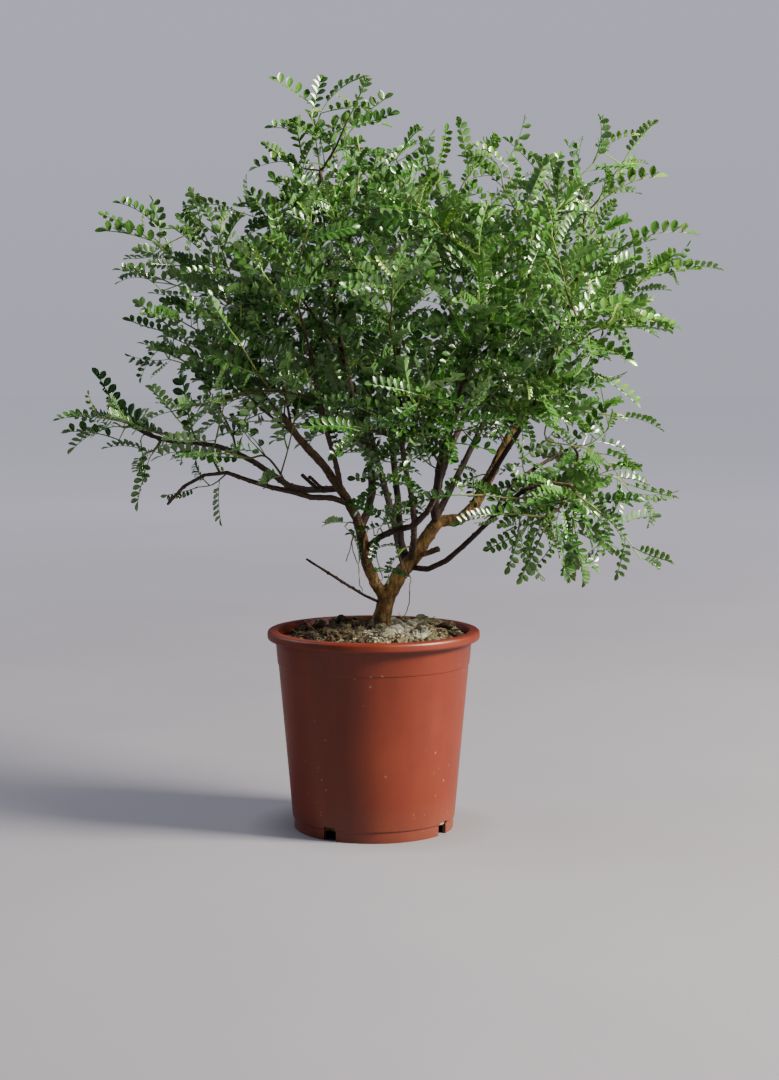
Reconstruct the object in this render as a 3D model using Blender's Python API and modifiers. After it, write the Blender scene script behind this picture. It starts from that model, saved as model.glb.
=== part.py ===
"""A potted prickly ash: a small tree with fine compound leaves in a round moulded nursery pot.

The pot stands on z = 0 with its axis on the world's Z axis, and the front of the plant faces -Y. The
pot and the soil are turned. The trunk, the stems and the limbs are tapered tubes through chosen points,
each cut to fit the one it grows from. The leafy sprays are grown from seeded numbers: each is a main
twig, its side twigs and their leaves, and it takes only room that nothing else fills.
"""

from math import cos, pi, radians, sin
from random import Random

import bmesh
import bpy
from mathutils import Matrix, Vector, noise
from mathutils.bvhtree import BVHTree

OBJECT_NAME = "potted_prickly_ash"
UP = Vector((0, 0, 1))
MM = 0.001

# The gap between pieces that touch, and how much wider a tube is made to cut that gap with: a little more,
# because its sides are flat between its corners.
CLEARANCE = 0.0003
CUTTER_GROWTH = 0.00036

# The pot.
POT_HEIGHT = 0.169
RIM_RADIUS = 0.090
RIM_HEIGHT = 0.008
RIM_OVERHANG = 0.0075
RIM_ROUNDING = 0.0022
POT_WALL = 0.0018
LEDGE_BELOW_RIM = 0.020
LEDGE_STEP = 0.0007
FOOT_HEIGHT = 0.010
FOOT_RADIUS = 0.068
FOOT_STEP = 0.0012
FOOT_RING_WIDTH = 0.003
FLOOR_THICKNESS = 0.002
CHANNEL_RADIUS = 0.046
CHANNEL_HEIGHT = 0.006
NOTCH_COUNT = 4
NOTCH_WIDTH = 0.013
NOTCH_HEIGHT = 0.0115
NOTCH_DEPTH = 0.016
NOTCH_TURN = radians(-122)
POT_SIDES = 40

# The soil.
SOIL_BELOW_RIM = 0.009
SOIL_MOUND = 0.004
SOIL_LUMP = 0.0016
SOIL_LUMP_SPACING = 0.012
SOIL_SIDES = 24
SOIL_RINGS = 5
SOIL_TOP = POT_HEIGHT - SOIL_BELOW_RIM + SOIL_MOUND

# The plant. Its points are in millimetres, with heights above the foot of the trunk, and they are drawn
# at the DRAWN sizes, so a change of CROWN_WIDTH or CROWN_RISE stretches them.
CROWN_WIDTH = 0.54
CROWN_RISE = 0.47
DRAWN_WIDTH = 0.54
DRAWN_RISE = 0.47
TRUNK_FOOT_BURIED = 0.002
TRUNK_IN_SOIL = 0.030
LIMB_POINT_SPACING = 0.019
CUT_END_CLEARANCE = 0.0004
THICK_LIMB = 0.0042
TRUNK_FOOT_RADIUS = 0.0082
TRUNK_TOP_RADIUS = 0.0070
TRUNK_POINT_SPACING = 0.010
TRUNK_POINTS = ((6, 0, 0), (7, 0, 18), (12, 0, 36))
PLANT_BASE = SOIL_TOP - TRUNK_FOOT_BURIED

# The leaves. A blade is the outline of one whole compound leaf, widest at BLADE_SHOULDER of its length.
LEAF_LENGTH = 0.056
LEAF_HALF_WIDTH = 0.0082
LEAF_DEPTH = 0.0009
BLADE_SHOULDER = 0.45
LEAF_SPACING = 0.020
LEAF_ANGLE = radians(58)

# The twigs of a leafy spray.
TWIG_FOOT_RADIUS = 0.0015
TWIG_TIP_RADIUS = 0.0009
SIDE_TWIG_RADIUS = 0.0011
SIDE_TWIG_LENGTH = 0.064
NODE_LENGTH = 0.0014
FIRST_LEAF_SHARE = 0.26
SIDE_TWIG_ANGLE = radians(46)
GOLDEN_TURN = radians(137.5)
LEAF_FROM_SIDE_TWIG = radians(130)
SIDE_TWIG_ARCH = 0.004

# How clear of everything else new growth must be, how near its foot it may touch the wood that carries it,
# how far apart a path is tested, and how far a twig's end is shifted between tries.
GROWING_ROOM = 0.0007
TWIG_FOOT_ROOM = 0.006
LEAF_FOOT_ROOM = 0.0015
TEST_SPACING = 0.003
SHIFT_STEP = 0.0009

# name, what it grows from, radius at its foot and at its end in mm, points in mm
LIMBS = (
    ("left_stem", "trunk", 4.8, 2.5, ((6, 0, 33), (-4, -4, 57), (-8, -10, 78), (-11, -14, 95),
     (-20, -18, 115), (-28, -22, 128), (-42, -30, 149), (-60, -40, 169), (-74, -52, 190))),
    ("right_stem", "trunk", 7.0, 5.2, ((13, 0, 34), (22, 3, 53), (35, 6, 69), (46, 8, 86),
     (57, 10, 101))),
    ("left_low_branch", "left_stem", 2.6, 1.0, ((-20, -18, 115), (-29, -26, 120), (-58, -45, 123),
     (-70, -52, 129), (-93, -62, 134), (-114, -72, 144), (-135, -82, 143), (-149, -88, 136),
     (-164, -92, 120))),
    ("left_sweeping_branch", "left_stem", 2.9, 1.5, ((-28, -22, 128), (-43, -8, 126), (-68, 12, 126),
     (-90, 26, 139), (-110, 34, 151), (-134, 40, 160), (-159, 44, 163), (-183, 46, 165),
     (-209, 46, 177))),
    ("leader_limb", "left_stem", 3.5, 1.5, ((-10, -14, 93), (-2, 6, 116), (-2, 14, 141), (-6, 16, 167),
     (-14, 14, 190), (-23, 12, 226), (-33, 6, 284), (-39, 0, 342), (-44, -4, 391))),
    ("crossing_branch", "left_stem", 2.8, 1.5, ((-6, -9, 74), (11, -22, 92), (28, -34, 95),
     (39, -42, 103), (47, -48, 115), (53, -54, 129), (57, -62, 158), (64, -72, 187), (71, -84, 215))),
    ("central_stem", "right_stem", 3.0, 1.5, ((28, 3, 64), (23, 10, 81), (21, 24, 111), (17, 38, 148),
     (16, 48, 174), (19, 58, 216), (24, 66, 277), (27, 66, 337))),
    ("right_curved_limb", "right_stem", 5.0, 1.8, ((55, 10, 98), (71, 14, 98), (84, 20, 107),
     (93, 26, 123), (101, 32, 137), (115, 40, 165), (133, 48, 199), (154, 54, 242), (171, 56, 285),
     (181, 54, 328))),
    ("right_upright_limb", "right_stem", 4.0, 1.6, ((53, 9, 96), (51, 0, 112), (55, -6, 134),
     (57, -10, 152), (66, -8, 184), (80, -10, 226), (96, -20, 276), (108, -30, 324))),
    ("right_inner_limb", "right_upright_limb", 3.0, 1.6, ((54, -5, 128), (63, 22, 152), (75, 50, 178),
     (91, 78, 207), (111, 100, 242))),
    ("right_side_branch", "right_stem", 2.5, 1.3, ((32, 4, 56), (50, -4, 59), (68, -16, 73),
     (85, -26, 90), (98, -34, 104), (109, -40, 116), (123, -46, 128), (143, -52, 135),
     (162, -58, 133))),
    ("dead_twig", "trunk", 1.0, 0.7, ((5, -2, 29), (-10, -8, 38), (-32, -16, 53), (-56, -22, 69))),
    ("back_limb", "right_stem", 3.3, 1.6, ((27, 4, 59), (22, 30, 73), (16, 60, 99), (5, 90, 136),
     (-6, 110, 180), (-13, 120, 233), (-20, 120, 287))),
    ("back_right_limb", "right_stem", 3.2, 1.6, ((46, 8, 86), (57, 40, 105), (76, 80, 137),
     (99, 110, 180), (122, 125, 224), (140, 130, 269))),
    ("front_limb", "right_stem", 2.8, 1.4, ((31, 5, 64), (34, -25, 89), (32, -55, 121), (25, -80, 155),
     (22, -100, 188), (20, -115, 227))),
    ("front_left_limb", "left_stem", 2.3, 1.4, ((-26, -21, 127), (-30, -50, 149), (-37, -80, 179),
     (-43, -100, 212), (-49, -112, 243))),
    ("front_right_limb", "right_curved_limb", 2.3, 1.4, ((93, 26, 123), (106, 0, 149), (121, -30, 177),
     (135, -60, 207), (146, -85, 235))),
    ("back_left_limb", "leader_limb", 2.2, 1.4, ((-5, 16, 158), (-25, 50, 182), (-52, 85, 216),
     (-80, 110, 251))),
)

# name, the limb it is one piece with, radius at its foot and at its end in mm, points in mm
SHORT_FORKS = (
    ("right_cut_stub", "right_stem", 2.3, 2.3, ((38, 5, 63), (55, -8, 76))),
    ("left_cut_stub", "left_sweeping_branch", 1.5, 1.5, ((-47, -5, 126), (-60, -12, 139))),
    ("left_lower_cut_stub", "left_sweeping_branch", 1.4, 1.4, ((-41, -9, 126), (-53, -24, 138))),
    ("right_side_fork", "right_side_branch", 1.7, 1.2, ((100, -35, 105), (109, -26, 124),
     (121, -16, 135), (144, -4, 149), (170, 6, 162))),
)

# the limb, how far along it the spray grows, the end of the main twig in mm, how many side twigs,
# how far the twig sags in its last half in mm
SPRAYS = (
    ("left_sweeping_branch", 0.98, (-226, 60, 176), 3, 4),
    ("left_sweeping_branch", 0.85, (-194, 52, 150), 1, 10),
    ("left_sweeping_branch", 0.55, (-142, 74, 200), 5, 4),
    ("left_low_branch", 0.70, (-154, -110, 190), 4, 0),
    ("left_low_branch", 0.36, (-98, -90, 172), 4, 0),
    ("left_stem", 0.98, (-128, -84, 257), 4, 0),
    ("left_stem", 0.86, (-158, -56, 256), 4, 8),
    ("left_stem", 0.92, (-101, -30, 284), 4, 0),
    ("front_left_limb", 0.98, (-67, -128, 312), 4, 0),
    ("front_left_limb", 0.70, (-115, -120, 208), 4, 6),
    ("back_left_limb", 0.98, (-152, 130, 327), 4, 0),
    ("back_left_limb", 0.70, (-205, 90, 345), 4, 4),
    ("leader_limb", 0.98, (-22, -8, 418), 1, 0),
    ("leader_limb", 0.80, (-74, 20, 352), 3, 0),
    ("leader_limb", 0.72, (-12, -40, 350), 4, 0),
    ("leader_limb", 0.50, (-67, -60, 299), 4, 0),
    ("leader_limb", 0.26, (-62, 46, 196), 4, 4),
    ("back_limb", 0.98, (-22, 130, 376), 4, 0),
    ("central_stem", 0.98, (23, 80, 376), 4, 0),
    ("central_stem", 0.80, (65, 100, 342), 4, 0),
    ("central_stem", 0.60, (-26, 110, 224), 4, 0),
    ("crossing_branch", 0.98, (83, -130, 281), 4, 0),
    ("crossing_branch", 0.62, (30, -130, 208), 4, 0),
    ("front_limb", 0.98, (6, -150, 296), 4, 0),
    ("front_limb", 0.70, (-21, -135, 185), 4, 4),
    ("right_upright_limb", 0.98, (119, -40, 350), 3, 0),
    ("right_upright_limb", 0.75, (65, -80, 342), 4, 0),
    ("right_upright_limb", 0.42, (122, -54, 192), 4, 4),
    ("right_inner_limb", 0.98, (153, 130, 331), 4, 0),
    ("back_right_limb", 0.98, (205, 150, 287), 4, 4),
    ("right_curved_limb", 0.98, (180, 50, 374), 3, 0),
    ("right_curved_limb", 0.88, (198, 40, 318), 4, 4),
    ("right_curved_limb", 0.72, (214, 20, 262), 4, 6),
    ("right_curved_limb", 0.48, (164, 60, 192), 4, 6),
    ("front_right_limb", 0.98, (169, -120, 282), 4, 0),
    ("front_right_limb", 0.70, (140, -72, 212), 4, 6),
    ("right_side_fork", 0.98, (166, 12, 124), 4, 12),
    ("right_side_branch", 0.98, (138, -64, 96), 4, 12),
    ("right_side_branch", 0.80, (120, -52, 104), 4, 8),
)

random = Random(20)


# ---------------------------------------------------------------- scene, materials, small helpers

for old in list(bpy.data.objects):
    bpy.data.objects.remove(old, do_unlink=True)

parts = bpy.data.collections.new(OBJECT_NAME)
cutters = bpy.data.collections.new("cutters")
bpy.context.scene.collection.children.link(parts)
bpy.context.scene.collection.children.link(cutters)


def material(name, color, roughness):
    made = bpy.data.materials.new(name)
    made.use_nodes = True
    shader = made.node_tree.nodes["Principled BSDF"]
    shader.inputs["Base Color"].default_value = (*color, 1)
    shader.inputs["Roughness"].default_value = roughness
    shader.inputs["Metallic"].default_value = 0
    return made


POT_PLASTIC = material("pot_plastic", (0.30, 0.075, 0.035), 0.5)
SOIL_CRUMBS = material("soil_crumbs", (0.045, 0.032, 0.022), 0.95)
TRUNK_BARK = material("trunk_bark", (0.20, 0.12, 0.045), 0.8)
LIMB_BARK = material("limb_bark", (0.065, 0.045, 0.03), 0.8)
LEAF_GREEN = material("leaf_green", (0.035, 0.12, 0.02), 0.4)


def add_part(name, mesh, surface):
    made = bpy.data.objects.new(name, mesh)
    made.data.materials.clear()
    made.data.materials.append(surface)
    parts.objects.link(made)
    return made


def add_cutter(name, mesh):
    made = bpy.data.objects.new(name, mesh)
    made.hide_render = True
    made.display_type = "WIRE"
    cutters.objects.link(made)
    return made


def boolean(target, operation, tool):
    modifier = target.modifiers.new(tool.name, "BOOLEAN")
    modifier.operation = operation
    modifier.solver = "EXACT"
    modifier.object = tool


def keep_largest_body(part):
    """Settles the cuts made in a piece and drops any crumb that they leave beside it."""
    graph = bpy.context.evaluated_depsgraph_get()
    bm = bmesh.new()
    bm.from_mesh(part.evaluated_get(graph).data)
    part.modifiers.clear()
    waiting = set(bm.verts)
    bodies = []
    while waiting:
        front = [waiting.pop()]
        body = []
        while front:
            vertex = front.pop()
            body.append(vertex)
            near = {edge.other_vert(vertex) for edge in vertex.link_edges} & waiting
            waiting -= near
            front.extend(near)
        bodies.append(body)
    bodies.sort(key=len)
    crumbs = [vertex for body in bodies[:-1] for vertex in body]
    bmesh.ops.delete(bm, geom=crumbs, context="VERTS")
    bm.to_mesh(part.data)
    bm.free()


def mesh_from(bm, name):
    bmesh.ops.recalc_face_normals(bm, faces=bm.faces)
    mesh = bpy.data.meshes.new(name)
    bm.to_mesh(mesh)
    bm.free()
    return mesh


def shade_round(mesh):
    mesh.shade_smooth()
    mesh.set_sharp_from_angle(angle=radians(40))


# ---------------------------------------------------------------- the pot

def pot_wall_radius(height):
    """The outer radius of the pot's straight, tapered wall."""
    top = POT_HEIGHT - RIM_HEIGHT
    share = (height - FOOT_HEIGHT) / (top - FOOT_HEIGHT)
    low = FOOT_RADIUS + FOOT_STEP
    return low + share * (RIM_RADIUS - RIM_OVERHANG - low)


def pot_inner_radius(height):
    return pot_wall_radius(height) - POT_WALL


FLOOR_TOP = CHANNEL_HEIGHT + FLOOR_THICKNESS
LEDGE_HEIGHT = POT_HEIGHT - RIM_HEIGHT - LEDGE_BELOW_RIM
CHANNEL_SLOPE = CHANNEL_HEIGHT / 2


def pot_profile():
    """Inner floor, inner wall, rolled rim, outer wall, foot ring, channel and the flat middle."""
    rim_bottom = POT_HEIGHT - RIM_HEIGHT
    ring = FOOT_RADIUS - FOOT_RING_WIDTH
    return (
        (0, FLOOR_THICKNESS),
        (CHANNEL_RADIUS - CHANNEL_SLOPE - FLOOR_THICKNESS / 2, FLOOR_THICKNESS),
        (CHANNEL_RADIUS - FLOOR_THICKNESS / 2, FLOOR_TOP),
        (pot_inner_radius(FLOOR_TOP), FLOOR_TOP),
        (pot_inner_radius(POT_HEIGHT), POT_HEIGHT),
        (RIM_RADIUS - RIM_ROUNDING, POT_HEIGHT),
        (RIM_RADIUS - 0.3 * RIM_ROUNDING, POT_HEIGHT - 0.3 * RIM_ROUNDING),
        (RIM_RADIUS, POT_HEIGHT - RIM_ROUNDING),
        (RIM_RADIUS, rim_bottom + RIM_ROUNDING),
        (RIM_RADIUS - 0.3 * RIM_ROUNDING, rim_bottom + 0.3 * RIM_ROUNDING),
        (RIM_RADIUS - RIM_ROUNDING, rim_bottom),
        (pot_wall_radius(rim_bottom) + LEDGE_STEP, rim_bottom),
        (pot_wall_radius(LEDGE_HEIGHT) + LEDGE_STEP, LEDGE_HEIGHT + LEDGE_STEP),
        (pot_wall_radius(LEDGE_HEIGHT), LEDGE_HEIGHT),
        (FOOT_RADIUS + FOOT_STEP, FOOT_HEIGHT),
        (FOOT_RADIUS, FOOT_HEIGHT - FOOT_STEP),
        (FOOT_RADIUS, 0),
        (ring, 0),
        (ring, CHANNEL_HEIGHT),
        (CHANNEL_RADIUS, CHANNEL_HEIGHT),
        (CHANNEL_RADIUS - CHANNEL_SLOPE, 0),
        (0, 0),
    )


def turned(name, profile, sides):
    """A mesh object whose profile is spun a full turn about Z by a Screw modifier."""
    bm = bmesh.new()
    ring = [bm.verts.new((radius, 0, height)) for radius, height in profile]
    for first, second in zip(ring, ring[1:]):
        bm.edges.new((first, second))
    mesh = bpy.data.meshes.new(name)
    bm.to_mesh(mesh)
    bm.free()
    made = bpy.data.objects.new(name, mesh)
    screw = made.modifiers.new("turn", "SCREW")
    screw.steps = sides
    screw.render_steps = sides
    screw.use_merge_vertices = True
    screw.merge_threshold = 0.00001
    screw.use_smooth_shade = False
    return made


def make_pot():
    pot = turned("pot", pot_profile(), POT_SIDES)
    pot.data.materials.append(POT_PLASTIC)
    parts.objects.link(pot)
    bm = bmesh.new()
    for index in range(NOTCH_COUNT):
        box = bmesh.ops.create_cube(bm, size=1)["verts"]
        bmesh.ops.scale(bm, vec=(NOTCH_DEPTH, NOTCH_WIDTH, 2 * NOTCH_HEIGHT), verts=box)
        bmesh.ops.translate(bm, vec=(FOOT_RADIUS - NOTCH_DEPTH * 0.3, 0, 0), verts=box)
        turn = NOTCH_TURN + index * 2 * pi / NOTCH_COUNT
        bmesh.ops.rotate(bm, matrix=Matrix.Rotation(turn, 3, "Z"), verts=box)
    boolean(pot, "DIFFERENCE", add_cutter("drain_notches", mesh_from(bm, "drain_notches")))


make_pot()


# ---------------------------------------------------------------- paths and tubes

def in_crown(point):
    """A drawn point in metres, at the crown's real size."""
    across = MM * CROWN_WIDTH / DRAWN_WIDTH
    rise = MM * CROWN_RISE / DRAWN_RISE
    return Vector((point[0] * across, point[1] * across, PLANT_BASE + point[2] * rise))


def smooth_path(points, spacing):
    """Evenly spaced points along a Catmull-Rom curve through the given ones."""
    ends = [2 * points[0] - points[1], *points, 2 * points[-1] - points[-2]]
    fine = []
    for before, start, end, after in zip(ends, ends[1:], ends[2:], ends[3:]):
        for step in range(8):
            t = step / 8
            fine.append(0.5 * (2 * start + (end - before) * t
                               + (2 * before - 5 * start + 4 * end - after) * t ** 2
                               + (3 * start - before - 3 * end + after) * t ** 3))
    fine.append(points[-1].copy())
    count = max(2, round(path_length(fine) / spacing))
    return [point_along(fine, index / count) for index in range(count + 1)]


def path_length(path):
    return sum((end - start).length for start, end in zip(path, path[1:]))


def point_along(path, share):
    """The point at this share of the path's length."""
    left = share * path_length(path)
    for start, end in zip(path, path[1:]):
        step = (end - start).length
        if left <= step:
            return start.lerp(end, left / step)
        left -= step
    return path[-1].copy()


def direction_along(path, share):
    ahead = point_along(path, min(1, share + 0.02))
    behind = point_along(path, max(0, share - 0.02))
    return (ahead - behind).normalized()


def nearest_on(path, place):
    shares = [index / 200 for index in range(201)]
    return min((point_along(path, share) for share in shares), key=lambda p: (p - place).length)


def tube(path, start_radius, end_radius, resolution, grown=0.0):
    """A closed tapered tube as a mesh. A grown one is wider and longer all round, to cut with."""
    path = list(path)
    if grown:
        path[0] = path[0] - (path[1] - path[0]).normalized() * CUT_END_CLEARANCE
        path[-1] = path[-1] + (path[-1] - path[-2]).normalized() * CUT_END_CLEARANCE
    curve = bpy.data.curves.new("tube", "CURVE")
    curve.dimensions = "3D"
    curve.bevel_depth = 1
    curve.bevel_resolution = resolution
    curve.use_fill_caps = True
    spline = curve.splines.new("POLY")
    spline.points.add(len(path) - 1)
    for index, (point, place) in enumerate(zip(spline.points, path)):
        share = index / (len(path) - 1)
        point.co = (*place, 1)
        point.radius = start_radius + share * (end_radius - start_radius) + grown
    carrier = bpy.data.objects.new("tube", curve)
    bpy.context.scene.collection.objects.link(carrier)
    graph = bpy.context.evaluated_depsgraph_get()
    mesh = bpy.data.meshes.new_from_object(carrier.evaluated_get(graph))
    bpy.data.objects.remove(carrier)
    bpy.data.curves.remove(curve)
    bm = bmesh.new()
    bm.from_mesh(mesh)
    bpy.data.meshes.remove(mesh)
    bmesh.ops.remove_doubles(bm, verts=bm.verts, dist=0.00001)
    return mesh_from(bm, "tube")


class Room:
    """The surfaces that the plant already fills, by owner, and tests for what still fits."""

    def __init__(self):
        self.bodies = {}

    def fill(self, owner, body):
        """Notes what the owner fills now, from its bmesh."""
        body.verts.index_update()
        points = [vertex.co.copy() for vertex in body.verts]
        faces = [[vertex.index for vertex in face.verts] for face in body.faces]
        self.bodies[owner] = (points, faces)

    def tree(self, owners):
        all_points = []
        all_faces = []
        for owner in owners:
            points, faces = self.bodies[owner]
            start = len(all_points)
            all_points += points
            all_faces += [[start + index for index in face] for face in faces]
        return BVHTree.FromPolygons(all_points, all_faces)

    def around(self, owner):
        """Everything but the owner's own surfaces, and those surfaces alone."""
        return self.tree([name for name in self.bodies if name != owner]), self.tree([owner])


def path_is_clear(path, radius, others, own, skip):
    """Whether a tube on this path clears the others, and its own twig or limb after skip metres."""
    count = max(2, round(path_length(path) / TEST_SPACING))
    for index in range(count + 1):
        place = point_along(path, index / count)
        if others.find_nearest(place, radius + GROWING_ROOM)[0] is not None:
            return False
        started = (place - path[0]).length < skip
        if not started and own.find_nearest(place, radius + GROWING_ROOM)[0] is not None:
            return False
    return True


# ---------------------------------------------------------------- the trunk and the limbs

def surface_tree(mesh):
    bm = bmesh.new()
    bm.from_mesh(mesh)
    found = BVHTree.FromBMesh(bm)
    bm.free()
    return found


class Limb:
    """A tapered woody tube: its path, its mesh and the cutter that its neighbours are cut with."""

    def __init__(self, name, path, start_radius, end_radius):
        sides = 2 if start_radius > THICK_LIMB else 1
        self.path = path
        self.radius = start_radius
        self.mesh = tube(path, start_radius, end_radius, sides)
        grown = tube(path, start_radius, end_radius, sides, CUTTER_GROWTH)
        self.cutter = add_cutter(name + "_clearance", grown)
        self.part = None

    def touches(self, mesh):
        return bool(surface_tree(self.cutter.data).overlap(surface_tree(mesh)))


def limb_from(row, limbs, place_on):
    """A limb through its drawn points, whose first point is on the path of the one it grows from."""
    name, start_radius, end_radius, points = row
    path = [in_crown(point) for point in points]
    path[0] = nearest_on(limbs[place_on].path, path[0])
    return Limb(name, smooth_path(path, LIMB_POINT_SPACING), start_radius * MM, end_radius * MM)


def make_limbs():
    """The trunk, then each limb cut clear of the earlier ones that its foot runs into."""
    path = [in_crown(point) for point in TRUNK_POINTS]
    path.insert(0, path[0] - UP * TRUNK_IN_SOIL)
    trunk = Limb("trunk", smooth_path(path, TRUNK_POINT_SPACING), TRUNK_FOOT_RADIUS, TRUNK_TOP_RADIUS)
    trunk.part = add_part("trunk", trunk.mesh, TRUNK_BARK)
    limbs = {"trunk": trunk}
    for name, parent, *shape in LIMBS:
        limb = limb_from((name, *shape), limbs, parent)
        surface = TRUNK_BARK if limb.radius > THICK_LIMB else LIMB_BARK
        limb.part = add_part(name, limb.mesh, surface)
        for earlier in limbs.values():
            if earlier.touches(limb.mesh):
                boolean(limb.part, "DIFFERENCE", earlier.cutter)
        limbs[name] = limb
    return limbs


def make_forks(limbs):
    """The cut stubs and the side fork, each one piece with its limb."""
    for name, whole, *shape in SHORT_FORKS:
        fork = limb_from((name, *shape), limbs, whole)
        fork.part = limbs[whole].part
        boolean(fork.part, "UNION", add_cutter(name, fork.mesh))
        limbs[name] = fork


def fill_with_limbs(room, limbs):
    """Settles each limb, with its stubs, and notes its surface."""
    for wood in dict.fromkeys(limb.part for limb in limbs.values()):
        keep_largest_body(wood)
        bm = bmesh.new()
        bm.from_mesh(wood.data)
        room.fill(wood.name, bm)
        bm.free()


room = Room()
limbs = make_limbs()
make_forks(limbs)
fill_with_limbs(room, limbs)


# ---------------------------------------------------------------- the soil

def make_soil():
    """A turned plug that fits the pot, with a low lumpy mound on top and a hole for the trunk."""
    edge_height = POT_HEIGHT - SOIL_BELOW_RIM
    edge = pot_inner_radius(edge_height) - CLEARANCE
    floor = FLOOR_TOP + CLEARANCE
    low = pot_inner_radius(floor) - CLEARANCE
    middle = CHANNEL_RADIUS - FLOOR_THICKNESS / 2 - CLEARANCE
    shares = [ring / SOIL_RINGS for ring in range(SOIL_RINGS + 1)]
    top = [(edge * share, edge_height + SOIL_MOUND * (1 - share ** 2)) for share in shares]
    under = [(low, floor), (middle, floor), (middle - CHANNEL_SLOPE, FLOOR_THICKNESS + CLEARANCE)]
    profile = [*top, *under, (0, FLOOR_THICKNESS + CLEARANCE)]
    bm = bmesh.new()
    line = [bm.verts.new((radius, 0, height)) for radius, height in profile]
    edges = [bm.edges.new(pair) for pair in zip(line, line[1:])]
    bmesh.ops.spin(bm, geom=line + edges, axis=UP, cent=(0, 0, 0), angle=2 * pi, steps=SOIL_SIDES,
                   use_merge=True)
    bmesh.ops.remove_doubles(bm, verts=bm.verts, dist=0.00001)
    for vertex in bm.verts:
        inside = vertex.co.xy.length < edge * (shares[-1] + shares[-2]) / 2
        if inside and vertex.co.z > edge_height:
            vertex.co.z += SOIL_LUMP * noise.noise(vertex.co / SOIL_LUMP_SPACING)
    soil = add_part("soil", mesh_from(bm, "soil"), SOIL_CRUMBS)
    boolean(soil, "DIFFERENCE", limbs["trunk"].cutter)


make_soil()


# ---------------------------------------------------------------- the leafy sprays

def push_out(bm, face):
    """Extrudes one face and gives the new end face and the four side faces behind it."""
    end = bmesh.ops.extrude_discrete_faces(bm, faces=[face])["faces"][0]
    sides = [side for edge in end.edges for side in edge.link_faces if side is not end]
    return end, sides


def turn_towards(face, direction):
    face.normal_update()
    if face.normal.dot(direction) < 0:
        face.normal_flip()


def set_ring(face, center, tangent, radius):
    """Moves a square end face to a ring round the center, turned as little as possible."""
    old_center = face.calc_center_median()
    face.normal_update()
    turn = face.normal.rotation_difference(tangent)
    for vertex in face.verts:
        offset = turn @ (vertex.co - old_center)
        offset -= tangent * offset.dot(tangent)
        vertex.co = center + offset.normalized() * radius


def add_leaf(bm, bud, along, face_up, length, half_width):
    """Grows the outline of one compound leaf out of a bud face: its widest section, then its tip."""
    foot = bud.calc_center_median()
    end = push_out(bm, bud)[0]
    side = face_up.cross(along).normalized()
    top = along.cross(side)
    middle = foot + along * length * BLADE_SHOULDER
    corners = [middle + side * half_width * wide + top * LEAF_DEPTH / 2 * high
               for wide, high in ((1, 1), (-1, 1), (-1, -1), (1, -1))]
    verts = list(end.verts)
    offsets = [vertex.co - foot for vertex in verts]

    def twist(shift):
        return -sum(offset.normalized().dot((corners[(index + shift) % 4] - middle).normalized())
                    for index, offset in enumerate(offsets))

    best = min(range(4), key=twist)
    for index, vertex in enumerate(verts):
        vertex.co = corners[(index + best) % 4]
    tip = bmesh.ops.poke(bm, faces=[end])["verts"][0]
    tip.co = foot + along * length


def leaf_room(foot, along, face_up, length, half_width, skip):
    """The space one leaf needs, a little bigger than it all round, from skip metres on."""
    bm = bmesh.new()
    start = foot + along * skip
    seat = Matrix.Translation(start) @ along.to_track_quat("Z", "Y").to_matrix().to_4x4()
    bmesh.ops.create_circle(bm, cap_ends=True, segments=4, radius=NODE_LENGTH / 3, matrix=seat)
    bud = next(iter(bm.faces))
    turn_towards(bud, along)
    add_leaf(bm, bud, along, face_up, length - skip + 2 * GROWING_ROOM, half_width + GROWING_ROOM)
    for vertex in bm.verts:
        vertex.co += face_up.normalized() * GROWING_ROOM
    tree = BVHTree.FromBMesh(bm)
    for vertex in bm.verts:
        vertex.co -= face_up.normalized() * 2 * GROWING_ROOM
    under = BVHTree.FromBMesh(bm)
    bm.free()
    return tree, under


def around(direction, turn):
    """A unit vector square to the direction: 0 is level to its side, a quarter turn is upward."""
    side = direction.cross(UP)
    if side.length < 0.05:
        side = direction.cross(Vector((0, -1, 0)))
    side.normalize()
    return side * cos(turn) + side.cross(direction) * sin(turn)


def bent_path(start, leaving, end, sag):
    """A twig's path: it leaves along one direction, ends at a point, and its last half sags."""
    reach = (end - start).length
    first = start + leaving * reach * 0.38
    second = end - (end - start).normalized() * reach * 0.3 + UP * sag
    path = []
    for index in range(13):
        t = index / 12
        path.append(start * (1 - t) ** 3 + first * 3 * t * (1 - t) ** 2
                    + second * 3 * t ** 2 * (1 - t) + end * t ** 3)
    return path


class Twig:
    """One square-sided twig of a spray, with the bud faces that its leaves and side twigs grow from."""

    def __init__(self, bm, face, path, radius, first_node, axils):
        self.path = path
        self.level = 0 if axils else 1
        self.turn = random.uniform(0, 2 * pi)
        self.leaf_buds = []
        self.twig_buds = []
        length = path_length(path)
        count = max(1, round((length - first_node) / LEAF_SPACING))
        places = [first_node + (length - first_node) * index / count for index in range(count)]
        for number, place in enumerate(places):
            face = self.ring(bm, face, place - NODE_LENGTH / 2, length, radius)[0]
            face, sides = self.ring(bm, face, place + NODE_LENGTH / 2, length, radius)
            self.leaf_buds.append((place / length, sides))
            if number < axils:
                face, sides = self.ring(bm, face, place + NODE_LENGTH * 1.5, length, radius)
                self.twig_buds.append((place / length, sides))
        end, _ = self.ring(bm, face, length, length, radius)
        self.leaf_buds.append((1, [end]))

    def ring(self, bm, face, place, length, radius):
        share = place / length
        end, sides = push_out(bm, face)
        wide = radius + share * (TWIG_TIP_RADIUS - radius)
        set_ring(end, point_along(self.path, share), direction_along(self.path, share), wide)
        return end, sides


def facing_bud(buds, direction):
    for face in buds:
        face.normal_update()
    return max(buds, key=lambda face: face.normal.dot(direction))


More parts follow.
